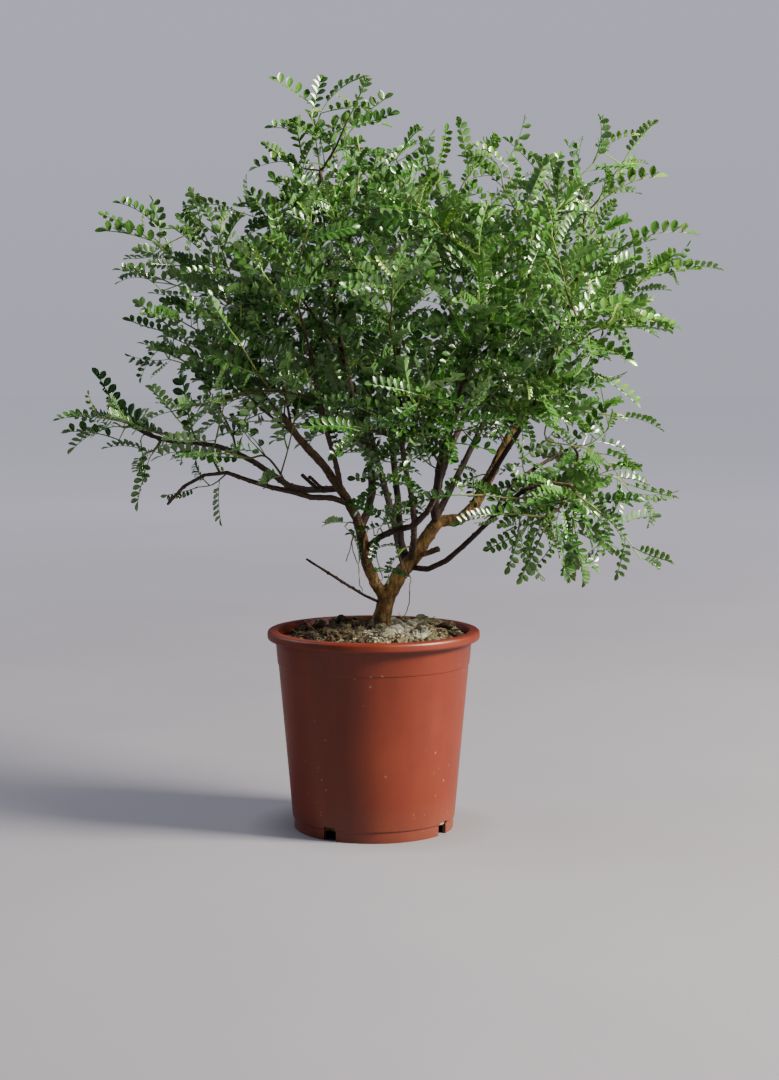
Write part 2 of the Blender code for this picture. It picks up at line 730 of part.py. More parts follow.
def twig_path(limb, share, end, sag, room):
    """The spray's main twig, shifted a little at a time until nothing is in its way."""
    others, own = room.around(limb.part.name)
    start = point_along(limb.path, share)
    tangent = direction_along(limb.path, share)
    skip = limb.radius + TWIG_FOOT_ROOM
    for attempt in range(60):
        shift = Vector([random.uniform(-1, 1) for _ in range(3)]) * SHIFT_STEP * attempt
        straight = end + shift - start
        outward = straight - tangent * straight.dot(tangent)
        leaving = (tangent + straight.normalized() * 0.6).normalized()
        if share < 0.95:
            leaving = (outward.normalized() * 0.8 + tangent * 0.45 + UP * 0.2).normalized()
        path = bent_path(start, leaving, end + shift, sag)
        if path_is_clear(path, TWIG_FOOT_RADIUS, others, own, skip):
            break
    return path


class Spray:
    """A leafy spray as one closed mesh: a main twig, its side twigs, and a leaf at every node."""

    def __init__(self, name, path, side_count):
        self.name = name
        self.bm = bmesh.new()
        tangent = direction_along(path, 0)
        seat = Matrix.Translation(path[0]) @ tangent.to_track_quat("Z", "Y").to_matrix().to_4x4()
        bmesh.ops.create_circle(self.bm, cap_ends=True, segments=4, radius=TWIG_FOOT_RADIUS, matrix=seat)
        end = next(iter(self.bm.faces))
        turn_towards(end, tangent)
        foot_edges = list(end.edges)
        first_node = FIRST_LEAF_SHARE * path_length(path)
        self.twigs = [Twig(self.bm, end, path, TWIG_FOOT_RADIUS, first_node, side_count)]
        bmesh.ops.contextual_create(self.bm, geom=foot_edges)

    def grow_side_twigs(self, room):
        """Side twigs in the axils of the main twig's first leaves."""
        main = self.twigs[0]
        for index, (share, buds) in enumerate(main.twig_buds):
            tangent = direction_along(main.path, share)
            others, own = room.around(self.name)
            for attempt in range(14):
                turn = main.turn + index * GOLDEN_TURN + random.uniform(-0.12, 0.12) * attempt
                length = SIDE_TWIG_LENGTH * random.uniform(0.8, 1.25) * (1 - 0.03 * attempt)
                leaving = tangent * cos(SIDE_TWIG_ANGLE) + around(tangent, turn) * sin(SIDE_TWIG_ANGLE)
                leaving.z = max(leaving.z, -0.35)
                leaving.normalize()
                bud = facing_bud(buds, leaving)
                start = bud.calc_center_median()
                end = start + (leaving + UP * 0.25).normalized() * length
                path = bent_path(start, leaving, end, SIDE_TWIG_ARCH)
                if path_is_clear(path, SIDE_TWIG_RADIUS, others, own, TWIG_FOOT_ROOM):
                    self.twigs.append(Twig(self.bm, bud, path, SIDE_TWIG_RADIUS, 0.3 * length, 0))
                    room.fill(self.name, self.bm)
                    break

    def grow_leaves(self, room):
        """A leaf at each node, turned until it is clear of everything else."""
        others, own = room.around(self.name)
        taken = []
        for twig in (*self.twigs[1:], self.twigs[0]):
            for index, (share, buds) in enumerate(twig.leaf_buds):
                size = 1 - 0.1 * twig.level - 0.3 * (index / len(twig.leaf_buds)) ** 2
                for attempt in range(26):
                    wander = 0.12 * attempt
                    along, facing = leaf_pose(twig, index, share, wander)
                    bud = facing_bud(buds, along)
                    foot = bud.calc_center_median()
                    length = LEAF_LENGTH * size * random.uniform(0.88, 1.08) * (1 - 0.1 * wander)
                    half_width = LEAF_HALF_WIDTH * (length / LEAF_LENGTH) ** 0.5
                    whole = leaf_room(foot, along, facing, length, half_width, 0)
                    beyond = leaf_room(foot, along, facing, length, half_width, LEAF_FOOT_ROOM)
                    if any(others.overlap(tree) for tree in whole):
                        continue
                    if any(own.overlap(tree) for tree in beyond):
                        continue
                    if not any(blade.overlap(tree) for blade in taken for tree in whole):
                        add_leaf(self.bm, bud, along, facing, length, half_width)
                        taken += whole
                        break
        room.fill(self.name, self.bm)

    def finish(self, limbs):
        """The spray's part, cut clear of the limb that it grows from."""
        spray = add_part(self.name, mesh_from(self.bm, self.name), LEAF_GREEN)
        for limb in limbs.values():
            if limb.touches(spray.data):
                boolean(spray, "DIFFERENCE", limb.cutter)
        keep_largest_body(spray)


def leaf_pose(twig, index, share, wander):
    """Where the leaf at one node points and which way it faces, within the given wander."""
    tangent = direction_along(twig.path, share)
    last = index == len(twig.leaf_buds) - 1
    level = 1 - abs(tangent.z)
    turn = twig.turn + index * GOLDEN_TURN + LEAF_FROM_SIDE_TWIG
    if twig.level:
        turn = pi * index + random.uniform(-0.4, 0.4)
    turn += random.uniform(-wander, wander) / 2
    out = around(tangent, turn)
    rise = around(tangent, pi / 2)
    out = (out - rise * out.dot(rise) * 0.75 * level + rise * 0.25 * level).normalized()
    angle = 0.15 if last else LEAF_ANGLE + random.uniform(-0.3, 0.3)
    along = tangent * cos(angle) + out * sin(angle) - UP * random.uniform(0, 0.18)
    along.normalize()
    facing = tangent * 0.35 + UP * 0.65 + Vector([random.uniform(-0.3, 0.3) for _ in range(3)])
    if abs(facing.normalized().dot(along)) > 0.93:
        facing = -out + UP * 0.1
    return along, facing


def make_sprays(limbs, room):
    """Main twigs first, then every side twig, then the leaves, so that wood is never blocked."""
    sprays = []
    numbers = {}
    for name, share, end, side_count, sag in SPRAYS:
        numbers[name] = numbers.get(name, 0) + 1
        path = twig_path(limbs[name], share, in_crown(end), sag * MM, room)
        spray = Spray(f"{name}_spray_{numbers[name]}", path, side_count)
        room.fill(spray.name, spray.bm)
        sprays.append(spray)
    for spray in sprays:
        spray.grow_side_twigs(room)
    for spray in sprays:
        spray.grow_leaves(room)
        spray.finish(limbs)


make_sprays(limbs, room)

for piece in parts.objects:
    shade_round(piece.data)
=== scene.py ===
from math import cos, pi, radians, sin
from random import Random

import bmesh
import bpy
from mathutils import Matrix, Vector, noise
from mathutils.bvhtree import BVHTree


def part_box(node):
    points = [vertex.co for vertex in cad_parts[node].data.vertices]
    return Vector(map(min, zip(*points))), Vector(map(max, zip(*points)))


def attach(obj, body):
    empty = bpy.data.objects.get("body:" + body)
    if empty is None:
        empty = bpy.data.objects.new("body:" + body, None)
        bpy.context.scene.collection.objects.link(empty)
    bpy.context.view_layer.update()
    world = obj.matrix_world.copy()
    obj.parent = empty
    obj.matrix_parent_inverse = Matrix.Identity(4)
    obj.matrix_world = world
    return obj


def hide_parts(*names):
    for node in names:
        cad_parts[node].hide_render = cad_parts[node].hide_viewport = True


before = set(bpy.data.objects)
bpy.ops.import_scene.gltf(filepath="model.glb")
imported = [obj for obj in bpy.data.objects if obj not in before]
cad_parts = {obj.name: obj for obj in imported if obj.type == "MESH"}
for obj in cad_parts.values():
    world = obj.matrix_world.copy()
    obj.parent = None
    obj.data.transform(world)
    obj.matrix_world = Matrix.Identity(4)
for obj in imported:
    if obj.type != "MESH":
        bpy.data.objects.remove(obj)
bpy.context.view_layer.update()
UP = Vector((0, 0, 1))
MM = 0.001

# ---------------------------------------------------------------- camera, light and floor
# A portrait lens above the pot's rim, a large soft lamp high on the right and a little in front, a weak
# one behind on the left, and a plain pale floor under an even grey-lavender studio.

HORIZON_GREY = "#B4B3C1"
STUDIO_GREY = "#BAB9C8"


def hex_color(text):
    """A linear colour from an sRGB hex value."""
    parts = [int(text[i:i + 2], 16) / 255 for i in (1, 3, 5)]
    return (*(p / 12.92 if p <= 0.04045 else ((p + 0.055) / 1.055) ** 2.4 for p in parts), 1)


def node(tree, kind, inputs=None, stops=None, **settings):
    """Adds a node: inputs take a value or another node's socket, stops are a ramp's places and colours."""
    made = tree.nodes.new(kind)
    for name, value in settings.items():
        setattr(made, name, value)
    for name, value in (inputs or {}).items():
        if isinstance(value, bpy.types.NodeSocket):
            tree.links.new(value, made.inputs[name])
        else:
            made.inputs[name].default_value = value
    for index, (place, color) in enumerate(stops or ()):
        band = made.color_ramp.elements
        stop = band[index] if index < len(band) else band.new(place)
        stop.position, stop.color = place, hex_color(color)
    return made


def material(name, roughness, ior):
    """A new material: its node tree and its shader."""
    made = bpy.data.materials.new(name)
    made.use_nodes = True
    shader = made.node_tree.nodes["Principled BSDF"]
    shader.inputs["Roughness"].default_value = roughness
    shader.inputs["IOR"].default_value = ior
    return made, made.node_tree, shader.inputs


def place_in(tree):
    """Where a point is on the piece, in metres."""
    return node(tree, "ShaderNodeTexCoord").outputs["Object"]


def noise_at(tree, place, scale, detail, **more):
    """Cloudy noise from 0 to 1."""
    return node(tree, "ShaderNodeTexNoise",
                {"Vector": place, "Scale": scale, "Detail": detail, **more}).outputs["Fac"]


def stretched(tree, place, height):
    """The same place with its height scaled, which draws a pattern out or flattens it."""
    return node(tree, "ShaderNodeMapping", {"Vector": place, "Scale": (1, 1, height)}).outputs["Vector"]


def carried(tree, name):
    """A value that the piece's own faces or corners carry."""
    return node(tree, "ShaderNodeAttribute", attribute_name=name).outputs["Fac"]


def maths(tree, operation, one, other=0.5):
    """One sum of two values."""
    return node(tree, "ShaderNodeMath", {0: one, 1: other}, operation=operation).outputs[0]


def ranged(tree, value, start, end, low=0, high=1, **settings):
    """Takes the range from start to end to the one from low to high, and holds it past both ends."""
    return node(tree, "ShaderNodeMapRange", {"Value": value, "From Min": start, "From Max": end,
                                             "To Min": low, "To Max": high}, **settings).outputs[0]


def ramp(tree, value, *stops):
    """A colour from a row of stops."""
    return node(tree, "ShaderNodeValToRGB", {"Fac": value}, stops=stops).outputs["Color"]


def blended(tree, factor, one, other):
    """A colour between two."""
    return node(tree, "ShaderNodeMix", {"Factor": factor, "A": one, "B": other},
                data_type="RGBA").outputs["Result"]


def roughen(tree, shader, height, strength, distance):
    """Gives the surface a fine relief."""
    bump = node(tree, "ShaderNodeBump", {"Height": height, "Strength": strength, "Distance": distance})
    tree.links.new(bump.outputs["Normal"], shader["Normal"])


def piece_from(bm, name, materials, slot=None, stands_for=()):
    """The finished piece from its bmesh, riding on the plant's one body when it is given a slot."""
    mesh = bpy.data.meshes.new(name)
    bm.to_mesh(mesh)
    bm.free()
    mesh.shade_smooth()
    mesh.set_sharp_from_angle(angle=radians(50))
    for finish in materials:
        mesh.materials.append(finish)
    made = bpy.data.objects.new(name, mesh)
    bpy.context.scene.collection.objects.link(made)
    if slot:
        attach(made, "root")
    if stands_for:
        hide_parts(*stands_for)
    return made


camera = bpy.data.objects.new("camera", bpy.data.cameras.new("camera"))
camera.data.lens = 67.414
camera.data.sensor_width = 36
camera.location = (0.01345, -1.7, 0.4106)
camera.rotation_euler = (radians(90 - 5.571), 0, 0)
bpy.context.scene.collection.objects.link(camera)
bpy.context.scene.camera = camera

for name, place, target, size, power, tint in (
        ("window_lamp", (2.25, -0.72, 1.7), (0.0, 0.0, 0.38), 0.8, 330, "#FFF4E6"),
        ("left_fill_lamp", (-1.7, 0.5, 1.5), (0.0, 0.0, 0.40), 1.2, 22, "#EEF2FF")):
    lamp = bpy.data.objects.new(name, bpy.data.lights.new(name, "AREA"))
    lamp.data.size = size
    lamp.data.energy = power
    lamp.data.color = hex_color(tint)[:3]
    lamp.location = place
    lamp.rotation_euler = (Vector(place) - Vector(target)).to_track_quat("Z", "Y").to_euler()
    bpy.context.scene.collection.objects.link(lamp)

studio = bpy.data.worlds.new("studio")
bpy.context.scene.world = studio
studio.use_nodes = True
sky = studio.node_tree
looking = node(sky, "ShaderNodeSeparateXYZ", {"Vector": node(sky, "ShaderNodeTexCoord").outputs["Generated"]})
backdrop = ramp(sky, looking.outputs["Z"], (0.0, HORIZON_GREY), (0.15, STUDIO_GREY), (0.5, STUDIO_GREY))
seen = node(sky, "ShaderNodeLightPath").outputs["Is Camera Ray"]
sky.links.new(backdrop, sky.nodes["Background"].inputs["Color"])
sky.links.new(ranged(sky, seen, 0, 1, 0.22, 1.0), sky.nodes["Background"].inputs["Strength"])

FLOOR_PAINT, paint, shader = material("matt_floor_paint", 0.8, 1.45)
# Flat emulsion on a board, with painted light: it glows, to the camera only, a little more the farther it
# lies from the pot, so that it runs into the studio with no horizon; the glow fades out under the pot as a
# painted shadow, and the glow lights nothing.
place = place_in(paint)
paint.links.new(ramp(paint, noise_at(paint, place, 1.6, 5), (0.3, "#77767C"), (0.7, "#828187")),
                shader["Base Color"])
away = node(paint, "ShaderNodeVectorMath", {0: place}, operation="LENGTH").outputs["Value"]
far = ranged(paint, away, 0.2, 3.6, 0.24, 0.90, interpolation_type="SMOOTHSTEP")
# Painted shadow under the pot: no glow within 6.5 cm of its axis, rising to the full glow at 11 cm.
lit = maths(paint, "MULTIPLY", far, ranged(paint, away, 0.065, 0.11))
seen = node(paint, "ShaderNodeLightPath").outputs["Is Camera Ray"]
shader["Emission Color"].default_value = hex_color(HORIZON_GREY)
paint.links.new(maths(paint, "MULTIPLY", lit, seen), shader["Emission Strength"])

bm = bmesh.new()
bmesh.ops.create_circle(bm, cap_ends=True, segments=96, radius=14)
floor = piece_from(bm, "floor", [FLOOR_PAINT])

# ---------------------------------------------------------------- the pot
# An injection-moulded polypropylene nursery pot, 18 cm across: a rolled rim, a thin straight wall with
# the fine ledge that stops stacked pots from jamming, and a stepped foot ring with four drain notches.

_, POT_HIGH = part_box("pot")
POT_HEIGHT = POT_HIGH.z
RIM_RADIUS = POT_HIGH.x
RIM_HEIGHT = 8 * MM
RIM_ROUNDING = 2.6 * MM
WALL_TOP_RADIUS = 82.5 * MM
WALL_FOOT_RADIUS = 69.2 * MM
WALL = 1.8 * MM
FOOT_HEIGHT = 10 * MM
FOOT_RADIUS = 68 * MM
LEDGE_HEIGHT = 141 * MM
LEDGE = 0.7 * MM
FLOOR_TOP = 8 * MM
POT_STEPS = 160
RIM_BOTTOM = POT_HEIGHT - RIM_HEIGHT


def wall_radius(height):
    """The outside radius of the pot's tapered wall at a height."""
    share = (height - FOOT_HEIGHT) / (RIM_BOTTOM - FOOT_HEIGHT)
    return WALL_FOOT_RADIUS + share * (WALL_TOP_RADIUS - WALL_FOOT_RADIUS)


def turned(profile, steps):
    """A bmesh spun a full turn round Z from a chain of (radius, height) places."""
    bm = bmesh.new()
    chain = [bm.verts.new((radius, 0, height)) for radius, height in profile]
    chain += [bm.edges.new(pair) for pair in zip(chain, chain[1:])]
    bmesh.ops.spin(bm, geom=chain, axis=UP, cent=(0, 0, 0), angle=2 * pi, steps=steps, use_merge=True)
    bmesh.ops.remove_doubles(bm, verts=bm.verts, dist=0.01 * MM)
    bmesh.ops.recalc_face_normals(bm, faces=bm.faces)
    return bm


def rounded(bm, edges, width, segments):
    """Rounds the given edges over."""
    bmesh.ops.bevel(bm, geom=edges, offset=width, offset_type="OFFSET", segments=segments, profile=0.5,
                    affect="EDGES", clamp_overlap=True, material=-1)


bm = turned((
    (0, 2 * MM), (42 * MM, 2 * MM), (45 * MM, FLOOR_TOP), (wall_radius(FLOOR_TOP) - WALL, FLOOR_TOP),
    (wall_radius(POT_HEIGHT * 0.5) - WALL, POT_HEIGHT * 0.5), (WALL_TOP_RADIUS - WALL + 0.6 * MM, POT_HEIGHT),
    (RIM_RADIUS, POT_HEIGHT), (RIM_RADIUS, RIM_BOTTOM), (wall_radius(RIM_BOTTOM) + LEDGE, RIM_BOTTOM),
    (wall_radius(LEDGE_HEIGHT) + LEDGE, LEDGE_HEIGHT), (wall_radius(LEDGE_HEIGHT), LEDGE_HEIGHT - LEDGE),
    (wall_radius(POT_HEIGHT * 0.45), POT_HEIGHT * 0.45), (WALL_FOOT_RADIUS, FOOT_HEIGHT),
    (FOOT_RADIUS, FOOT_HEIGHT - 1.2 * MM), (FOOT_RADIUS, 0), (FOOT_RADIUS - 3 * MM, 0),
    (FOOT_RADIUS - 3 * MM, 6 * MM), (46 * MM, 6 * MM), (43 * MM, 0), (0, 0)), POT_STEPS)
level = [edge for edge in bm.edges if abs(edge.verts[0].co.z - edge.verts[1].co.z) < 0.01 * MM
         and abs(edge.verts[0].co.xy.length - edge.verts[1].co.xy.length) < 0.01 * MM]
rolled = [edge for edge in level if edge.verts[0].co.xy.length > RIM_RADIUS - MM]
rounded(bm, rolled, RIM_ROUNDING, 5)
fine = [edge for edge in bm.edges if edge.is_valid and edge.calc_face_angle(0) > radians(25)
        and abs(edge.verts[0].co.z - edge.verts[1].co.z) < 0.01 * MM]
rounded(bm, fine, 0.45 * MM, 2)

PLASTIC, plastic, shader = material("moulded_terracotta_polypropylene", 0.42, 1.49)
# A tough matt-gloss plastic, coloured through: the mould leaves a faint orange peel, and use leaves pale
# lime marks from watering and dust that gathers low on the wall.
place = place_in(plastic)
clouds = noise_at(plastic, place, 22, 4, Roughness=0.6)
streaks = noise_at(plastic, stretched(plastic, place, 0.12), 60, 3)
blend = maths(plastic, "MULTIPLY", maths(plastic, "ADD", clouds, streaks), 0.5)
base = ramp(plastic, blend, (0.3, "#622312"), (0.5, "#6C2814"), (0.7, "#753018"))
spots = node(plastic, "ShaderNodeTexVoronoi", {"Vector": place, "Scale": 130, "Randomness": 1})
patchy = ranged(plastic, noise_at(plastic, place, 30, 2), 0.52, 0.68)
marks = maths(plastic, "MULTIPLY", ranged(plastic, spots.outputs["Distance"], 0.16, 0.05), patchy)
limy = blended(plastic, maths(plastic, "MULTIPLY", marks, 0.4), base, hex_color("#C49C88"))
height = node(plastic, "ShaderNodeSeparateXYZ", {"Vector": place}).outputs["Z"]
grime = maths(plastic, "MULTIPLY", ranged(plastic, height, 0.035, 0.0, 0, 0.30), clouds)
plastic.links.new(blended(plastic, grime, limy, hex_color("#7A5A48")), shader["Base Color"])
plastic.links.new(ranged(plastic, clouds, 0.3, 0.7, 0.36, 0.50), shader["Roughness"])
roughen(plastic, shader, noise_at(plastic, place, 420, 2), 0.12, 0.0003)

pot = piece_from(bm, "nursery_pot", [PLASTIC], "pot_plastic", ["pot"])
bm = bmesh.new()
for index in range(4):
    block = bmesh.ops.create_cube(bm, size=1)["verts"]
    bmesh.ops.scale(bm, vec=(16 * MM, 13 * MM, 23 * MM), verts=block)
    bmesh.ops.translate(bm, vec=(FOOT_RADIUS - 4.8 * MM, 0, 0), verts=block)
    for corner in block:
        if corner.co.z > 0:
            corner.co.y *= 0.86
    bmesh.ops.rotate(bm, matrix=Matrix.Rotation(radians(-122 + 90 * index), 3, "Z"), verts=block)
notches = piece_from(bm, "notch_cutter", [PLASTIC])


def applied(piece):
    """Makes the piece's modifiers part of its mesh."""
    graph = bpy.context.evaluated_depsgraph_get()
    old = piece.data
    piece.data = bpy.data.meshes.new_from_object(piece.evaluated_get(graph))
    piece.modifiers.clear()
    bpy.data.meshes.remove(old)
    piece.data.name = piece.name


cut = pot.modifiers.new("notches", "BOOLEAN")
cut.object, cut.operation, cut.solver = notches, "DIFFERENCE", "EXACT"
applied(pot)
bpy.data.objects.remove(notches)
pot.data.shade_smooth()
pot.data.set_sharp_from_angle(angle=radians(35))

# ---------------------------------------------------------------- the soil
# Potting mix of peat and bark, pressed into the pot and mounded up to the trunk, with pale mossy and
# limy clods on top, mostly in front and on the right, bark crumbs, and bits of straw and root.

SOIL_EDGE = 161 * MM
SOIL_RADIUS = wall_radius(SOIL_EDGE) - WALL - 0.2 * MM
growth = Random(4)


def soil_height(x, y):
    """The soil's surface: a mound, higher to the right and back, with lumps of three sizes."""
    share = min(1, Vector((x, y)).length / SOIL_RADIUS)
    mound = 7.5 * (1 - share ** 2) + 2.6 * x / SOIL_RADIUS + 3.0 * y / SOIL_RADIUS
    spot = Vector((x, y, 0)) / MM
    lumps = 2.6 * noise.noise(spot / 15) + 1.8 * noise.noise(spot / 6.5) + 1.0 * noise.noise(spot / 2.6)
    return SOIL_EDGE + (mound + lumps * (1 - 0.6 * share ** 6)) * MM


rings = 64
top = [(SOIL_RADIUS * ring / rings, SOIL_EDGE) for ring in range(rings + 1)]
low_radius = wall_radius(FLOOR_TOP) - WALL - 0.3 * MM
bm = turned((*top, (low_radius, FLOOR_TOP + 0.3 * MM), (45 * MM, FLOOR_TOP + 0.3 * MM),
             (42 * MM, 2.3 * MM), (0, 2.3 * MM)), 150)
for vertex in bm.verts:
    if vertex.co.z > SOIL_EDGE - MM:
        vertex.co.z = soil_height(vertex.co.x, vertex.co.y)

PEAT, peat, shader = material("peat_and_bark_mix", 0.95, 1.4)
# Damp peat is nearly black-brown; the dry crust on top is paler, and moss and lime make it grey-green.
place = place_in(peat)
grit = noise_at(peat, place, 260, 6, Roughness=0.7)
brown = ramp(peat, grit, (0.30, "#1E150F"), (0.48, "#39291D"), (0.60, "#5C4733"), (0.74, "#8A755A"))
moss = ramp(peat, grit, (0.3, "#5E5E42"), (0.5, "#9A9878"), (0.7, "#C9C8AE"))
crust = ranged(peat, noise_at(peat, place, 42, 3, Distortion=0.4), 0.50, 0.60, 0, 0.75)
peat.links.new(blended(peat, crust, brown, moss), shader["Base Color"])
roughen(peat, shader, grit, 0.8, 0.0012)
piece_from(bm, "potting_soil", [PEAT], "soil_crumbs", ["soil"])

CLODS, clods, shader = material("mossy_limy_clods", 0.9, 1.4)
# Lumps of peat and bark with a crust of moss and lime: rough, matt, and each its own shade.
grit = noise_at(clods, place_in(clods), 380, 5, Roughness=0.75)
shade = maths(clods, "MULTIPLY", maths(clods, "ADD", grit, carried(clods, "paleness")), 0.5)
clods.links.new(ramp(clods, shade, (0.22, "#261C14"), (0.36, "#574836"), (0.48, "#87825F"),
                     (0.60, "#BAB99E"), (0.74, "#DEDDCC")), shader["Base Color"])
roughen(clods, shader, grit, 1.0, 0.0025)


def add_clod(bm, x, y, size, fineness, paleness):
    """One rough lump: a stretched ball whose surface is pushed in and out."""
    seat = Matrix.Translation((x, y, soil_height(x, y) + size * 0.22))
    turn = Matrix.Rotation(growth.uniform(0, 2 * pi), 4, "Z")
    tilt = Matrix.Rotation(growth.uniform(-0.5, 0.5), 4, "X")
    sides = growth.uniform(0.7, 1.25), growth.uniform(0.7, 1.1), growth.uniform(0.5, 0.85)
    made = bmesh.ops.create_icosphere(bm, subdivisions=fineness, radius=size / 2,
                                      matrix=seat @ turn @ tilt @ Matrix.Diagonal((*sides, 1)))
    middle = seat.translation
    for vertex in made["verts"]:
        push = 1 + 0.65 * noise.noise(vertex.co / size * 2.1) + 0.45 * noise.noise(vertex.co / size * 5.5)
        vertex.co = middle + (vertex.co - middle) * push
        vertex[bm.verts.layers.float["paleness"]] = paleness


def somewhere(reach):
    """A place on the soil within reach of the pot's axis, all places being alike."""
    angle, out = growth.uniform(0, 2 * pi), reach * growth.uniform(0, 1) ** 0.5
    return out * cos(angle), out * sin(angle)


def from_pale_patch(x, y):
    """How far a place is from the middle of the pale mossy patch, right of the trunk."""
    return Vector((x - 26 * MM, y * 0.7 + 4 * MM)).length


CLOD_COUNT, CRUMB_COUNT, PALE_CRUMB_COUNT = 110, 1100, 420
bm = bmesh.new()
bm.verts.layers.float.new("paleness")
for _ in range(CLOD_COUNT):
    x, y = somewhere(SOIL_RADIUS * 0.9)
    pale = 0.95 - min(0.85, from_pale_patch(x, y) / (72 * MM))
    add_clod(bm, x, y, growth.uniform(5, 12) * MM, 3, pale + growth.uniform(-0.2, 0.2))
for _ in range(CRUMB_COUNT):
    x, y = somewhere(SOIL_RADIUS * 0.97)
    pale = 0.62 - min(0.62, from_pale_patch(x, y) / (85 * MM))
    add_clod(bm, x, y, growth.uniform(1.2, 3.2) * MM, 1, pale + growth.uniform(-0.3, 0.3))
for _ in range(PALE_CRUMB_COUNT):
    x, y = growth.gauss(20, 20) * MM, growth.gauss(-28, 20) * MM
    if Vector((x, y)).length < SOIL_RADIUS * 0.95:
        add_clod(bm, x, y, growth.uniform(1.6, 4.5) * MM, 1, growth.uniform(0.5, 1.05))
piece_from(bm, "soil_clods", [CLODS], "soil_crumbs")


def set_ring(verts, center, tangent, radius):
    """Moves an end's corners to a circle round the center, turned as little as possible."""
    middle = sum((vertex.co for vertex in verts), Vector()) / len(verts)
    normal = (verts[0].co - middle).cross(verts[1].co - middle)
    if normal.dot(tangent) < 0:
        normal.negate()
    turn = normal.rotation_difference(tangent)
    for vertex in verts:
        offset = turn @ (vertex.co - middle)
        offset -= tangent * offset.dot(tangent)
        vertex.co = center + offset.normalized() * radius


def add_tube(bm, path, radii, sides, layer=None, values=None):
    """A closed round tube along a path, with its own radius and face value at each point."""
    tangents = [(after - before).normalized() for before, after in zip(path[:1] + path, path[1:] + path[-1:])]
    tangents[-1] = (path[-1] - path[-2]).normalized()
    seat = Matrix.Translation(path[0]) @ tangents[0].to_track_quat("Z", "Y").to_matrix().to_4x4()
    first = bmesh.ops.create_circle(bm, cap_ends=True, segments=sides, radius=radii[0], matrix=seat)["verts"]
    end = first[0].link_faces[0]
    rim = list(end.edges)
    body = []
    for index in range(1, len(path)):
        end = bmesh.ops.extrude_discrete_faces(bm, faces=[end])["faces"][0]
        set_ring(list(end.verts), path[index], tangents[index], radii[index])
        wall = [face for edge in end.edges for face in edge.link_faces if face is not end]
        if layer:
            for face in wall:
                face[layer] = values[index]
        body += wall
    body += [end, *bmesh.ops.contextual_create(bm, geom=rim)["faces"]]
    bmesh.ops.recalc_face_normals(bm, faces=body)


STRAW, straw, shader = material("dry_straw_and_root", 0.7, 1.45)
# Dry stalks and root ends, bleached in places and still brown in others.
patch = noise_at(straw, place_in(straw), 90, 3)
straw.links.new(ramp(straw, patch, (0.35, "#3A2B1E"), (0.5, "#6B5842"), (0.64, "#B8A480")),
                shader["Base Color"])

STRAW_COUNT = 260
bm = bmesh.new()
for _ in range(STRAW_COUNT):
    x, y = somewhere(SOIL_RADIUS * 0.92)
    turn, length = growth.uniform(0, 2 * pi), growth.uniform(6, 24) * MM
    bend, radius, rise = growth.uniform(-1, 1), growth.uniform(0.14, 0.32) * MM, growth.uniform(0, 0.9) ** 3
    path = []
    for step in range(5):
        along = length * (step / 4 - 0.5)
        heading = turn + bend * step / 4
        px, py = x + along * cos(heading), y + along * sin(heading)
        if Vector((px, py)).length > SOIL_RADIUS * 0.97:
            break
        path.append(Vector((px, py, soil_height(px, py) + 1.6 * MM + max(0, along) * rise)))
    if len(path) > 2:
        add_tube(bm, path, [radius] * len(path), 5)
piece_from(bm, "soil_straw", [STRAW], "soil_crumbs")

# ---------------------------------------------------------------- the trunk, the stems and the limbs
# One grown frame of wood. The trunk is short, golden-brown and ridged, and forks low; the stems stay
# olive-brown, and the limbs above turn dark grey-brown, knobbly with old leaf scars and pale lenticels.

STEMS = ["trunk", "left_stem", "right_stem", "right_curved_limb"]
DEAD_TWIG = "dead_twig"
STUB_END = (56 * MM, -9 * MM, 239 * MM)
LIMBS = sorted(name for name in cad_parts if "spray" not in name
               and name not in (*STEMS, DEAD_TWIG, "pot", "soil"))


def cad_copy(name):
    """The named CAD node in a bmesh, with its doubled corners merged."""
    bm = bmesh.new()
    bm.from_mesh(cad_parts[name].data)
    bmesh.ops.remove_doubles(bm, verts=bm.verts, dist=0.02 * MM)
    return bm


def wood_copy(names, more):
    """The named CAD tubes in one bmesh, each thickened so that the gaps between them close."""
    bm = bmesh.new()
    for name in names:
        one = cad_copy(name)
        one.normal_update()
        shifts = [(vertex, vertex.normal * more) for vertex in one.verts]
        for vertex, shift in shifts:
            vertex.co += shift
        grown = bpy.data.meshes.new("grown")
        one.to_mesh(grown)
        one.free()
        bm.from_mesh(grown)
        bpy.data.meshes.remove(grown)
    return bm


def grown_wood(names, name, finish, voxel, knobs, ridge, slot):
    """The tubes fused by a voxel remesh, smoothed, then ridged and knobbed like old wood."""
    made = piece_from(wood_copy(names, 0.45 * MM), name, [finish], slot, names)
    fuse = made.modifiers.new("fuse", "REMESH")
    fuse.mode, fuse.voxel_size = "VOXEL", voxel
    soften = made.modifiers.new("soften", "SMOOTH")
    soften.factor, soften.iterations = 0.5, 6
    applied(made)
    bm = bmesh.new()
    bm.from_mesh(made.data)
    bm.normal_update()
    corners = bm.verts[:]
    scars = [growth.choice(corners).co.copy() for _ in range(knobs)]
    near = BVHTree.FromPolygons([spot + corner for spot in scars for corner in (
        Vector((0, 0, 0)), Vector((1e-5, 0, 0)), Vector((0, 1e-5, 0)))],
        [(3 * i, 3 * i + 1, 3 * i + 2) for i in range(len(scars))])
    shifts = []
    for vertex in bm.verts:
        spot = vertex.co / MM
        grain = noise.noise(Vector((spot.x / 2.4, spot.y / 2.4, spot.z / 13)))
        lump = noise.noise(spot / 7)
        push = ridge * (0.55 * grain + 0.45 * lump) + 0.05
        distance = near.find_nearest(vertex.co)[3] / MM
        push += 0.75 * max(0, 1 - distance / 2.0) ** 1.5
        shifts.append((vertex, vertex.normal * push * MM))
    for vertex, shift in shifts:
        vertex.co += shift
    bm.to_mesh(made.data)
    bm.free()
    made.data.shade_smooth()
    return made


